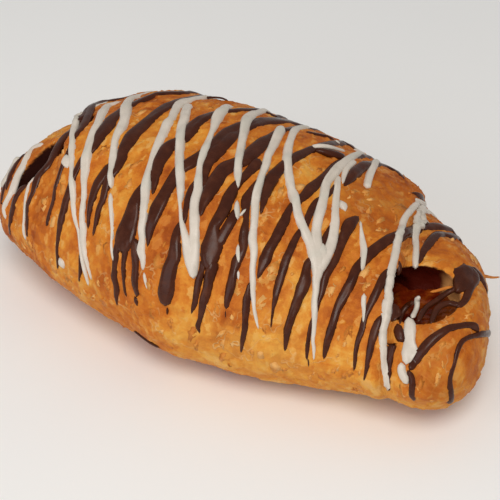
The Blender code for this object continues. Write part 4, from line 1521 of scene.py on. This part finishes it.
def lifted_pastry():
    """Single baked layers of dough that have come loose: thin, dry and paler than the crust."""
    material, tree, shader, place = new_material("lifted_pastry_layer")
    tone = add_node(tree, "Attribute", out="Fac", attribute_name="tone")
    grain = add_node(
        tree, "TexNoise", {"Vector": place, "Scale": per_metre(2.2), "Detail": 4, "Roughness": 0.6}
    )
    mixed = add_node(tree, "Math", {0: tone, 1: 0.55, 2: grain}, operation="MULTIPLY_ADD")
    colour = add_node(
        tree,
        "ValToRGB",
        {"Fac": mixed},
        stops=((0.35, "#b5641f"), (0.62, "#c97b2f"), (0.85, "#d79346"), (1.0, "#e0a862")),
    )
    bump = add_node(tree, "Bump", {"Height": grain, "Strength": 0.5, "Distance": 0.15 * MM})
    give_inputs(tree, shader, {
        "Base Color": colour,
        "Roughness": 0.55,
        "Specular IOR Level": 0.22,
        "IOR": 1.45,
        "Normal": bump,
    })
    return material


def dark_chocolate():
    """Melted dark chocolate that has set: deep brown, satin, with soft streaks of sheen."""
    material, tree, shader, place = new_material("dark_chocolate")
    bloom = add_node(
        tree, "TexNoise", {"Vector": place, "Scale": per_metre(3), "Detail": 4, "Roughness": 0.6}
    )
    colour = add_node(
        tree, "ValToRGB", {"Fac": bloom}, stops=((0.3, "#3a180b"), (0.55, "#441e0e"), (0.75, "#522916"))
    )
    gloss = add_node(
        tree, "MapRange", {"Value": bloom, "From Min": 0.3, "From Max": 0.7, "To Min": 0.2, "To Max": 0.36}
    )
    ripple = add_node(
        tree, "TexNoise", {"Vector": place, "Scale": per_metre(1.6), "Detail": 3, "Roughness": 0.5}
    )
    bump = add_node(tree, "Bump", {"Height": ripple, "Strength": 0.4, "Distance": 0.12 * MM})
    give_inputs(tree, shader, {
        "Base Color": colour,
        "Roughness": gloss,
        "IOR": 1.46,
        "Specular IOR Level": 0.22,
        "Normal": bump,
    })
    return material


def white_chocolate():
    """Melted white chocolate that has set: ivory, satin, faintly translucent, so that it looks greyer
    where it crosses dark chocolate and warmer on the crust."""
    material, tree, shader, place = new_material("white_chocolate")
    bloom = add_node(
        tree, "TexNoise", {"Vector": place, "Scale": per_metre(4), "Detail": 4, "Roughness": 0.6}
    )
    colour = add_node(
        tree, "ValToRGB", {"Fac": bloom}, stops=((0.3, "#c9beb0"), (0.6, "#d3c8bb"), (0.75, "#dbd1c5"))
    )
    crossing = add_node(tree, "Attribute", out="Fac", attribute_name="crossing")
    colour = add_node(
        tree, "Mix", {0: crossing, 6: colour, 7: to_linear("#cac3b6")}, out=2, data_type="RGBA"
    )
    ripple = add_node(
        tree, "TexNoise", {"Vector": place, "Scale": per_metre(1.4), "Detail": 3, "Roughness": 0.5}
    )
    bump = add_node(tree, "Bump", {"Height": ripple, "Strength": 0.35, "Distance": 0.12 * MM})
    give_inputs(tree, shader, {"Base Color": colour, "Roughness": 0.42, "IOR": 1.46, "Normal": bump})
    return material


def fruit_jam():
    """Cooked fruit jam: dark red, wet and glossy, lighter towards the right wall, where it is thin and
    painted as lit.
    """
    material, tree, shader, place = new_material("fruit_jam")
    pulp = add_node(
        tree, "TexNoise", {"Vector": place, "Scale": per_metre(3.5), "Detail": 4, "Roughness": 0.6}
    )
    colour = add_node(
        tree, "ValToRGB", {"Fac": pulp}, stops=((0.3, "#510b01"), (0.5, "#6b2005"), (0.7, "#8c420e"))
    )
    # It is thin and lets the dough show towards the right wall, and it is painted lighter there as lit.
    place_along = add_node(tree, "SeparateXYZ", {0: place}, out="X")
    thin_and_lit = add_node(
        tree,
        "MapRange",
        {"Value": place_along, "From Min": 58 * MM, "From Max": 66 * MM, "To Min": 0, "To Max": 0.75},
    )
    colour = add_node(tree, "Mix", {0: thin_and_lit, 6: colour, 7: to_linear("#95501a")}, out=2, data_type="RGBA")
    ripple = add_node(
        tree, "TexNoise", {"Vector": place, "Scale": per_metre(1.8), "Detail": 3, "Roughness": 0.6}
    )
    bump = add_node(tree, "Bump", {"Height": ripple, "Strength": 0.6, "Distance": 0.3 * MM})
    give_inputs(tree, shader, {
        "Base Color": colour,
        "Roughness": 0.18,
        "IOR": 1.42,
        "Specular IOR Level": 0.3,
        "Normal": bump,
    })
    return material


def plain_floor():
    """A pale matt studio floor."""
    material, tree, shader, place = new_material("pale_floor")
    tone = add_node(tree, "TexNoise", {"Vector": place, "Scale": 6, "Detail": 2})
    colour = add_node(tree, "ValToRGB", {"Fac": tone}, stops=((0.3, "#f2f2f1"), (0.7, "#f5f5f4")))
    give_inputs(tree, shader, {"Base Color": colour, "Roughness": 0.8})
    return material


def add_floor():
    shape = bmesh.new()
    bmesh.ops.create_grid(shape, x_segments=1, y_segments=1, size=FLOOR_SIZE)
    bmesh.ops.translate(shape, verts=shape.verts, vec=(0, 0, -FLOOR_BELOW))
    floor = new_piece("floor", shape)
    floor.data.materials.append(plain_floor())


def add_light(name, place, size, power, colour):
    data = bpy.data.lights.new(name, "AREA")
    data.shape = "DISK"
    data.size = size
    data.energy = power
    data.color = to_linear(colour)[:3]
    light = bpy.data.objects.new(name, data)
    light.location = place
    light.rotation_mode = "QUATERNION"
    light.rotation_quaternion = (PHOTO_AIM - Vector(place)).to_track_quat("-Z", "Y")
    bpy.context.collection.objects.link(light)


def add_studio():
    add_floor()
    for light in LIGHTS:
        add_light(*light)
    world = bpy.data.worlds.new("studio")
    world.use_nodes = True
    background = world.node_tree.nodes["Background"]
    give_inputs(world.node_tree, background, {"Color": to_linear("#ffffff"), "Strength": SKY_STRENGTH})
    bpy.context.scene.world = world
    bpy.context.scene.view_settings.view_transform = "Standard"


def main():
    noise.seed_set(RELIEF_SEED)
    add_camera()
    crust, surface = make_crust()
    crust.data.materials.append(baked_pastry())
    jam = make_jam()
    jam.data.materials.append(fruit_jam())
    crust_tree = tree_of(crust)
    dark_finish = {
        "lines": DARK_LINES, "strands": DARK_STRANDS, "back": DARK_BACK, "height": DARK_HEIGHT,
        "sunk": DARK_SUNK,
    }
    white_finish = {
        "lines": WHITE_LINES, "strands": WHITE_STRANDS, "back": WHITE_BACK, "height": WHITE_HEIGHT,
        "sunk": WHITE_SUNK,
    }
    # The uncut dough is also under the lines, so that they bridge the open end and the slot.
    dark = make_drizzle("dark_drizzle", dark_finish, surface, [crust_tree, surface], [])
    dark.data.materials.append(dark_chocolate())
    dark_tree = tree_of(dark)
    white = make_drizzle("white_drizzle", white_finish, surface, [crust_tree, surface], [dark_tree])
    white.data.materials.append(white_chocolate())
    loose_material = lifted_pastry()
    chocolate_trees = [dark_tree, tree_of(white)]
    flakes = make_flakes(surface, crust_tree, chocolate_trees)
    crumbs = make_crumbs(surface, crust_tree, chocolate_trees)
    for piece in (flakes, crumbs):
        piece.data.materials.append(loose_material)
        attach(piece, "root")
    for piece, slot_name, node in (
        (crust, "crust", "pastry"), (dark, "crust", "pastry"), (white, "crust", "pastry"), (jam, "jam", "jam")
    ):
        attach(piece, "root")
        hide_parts(node)
    add_studio()


main()
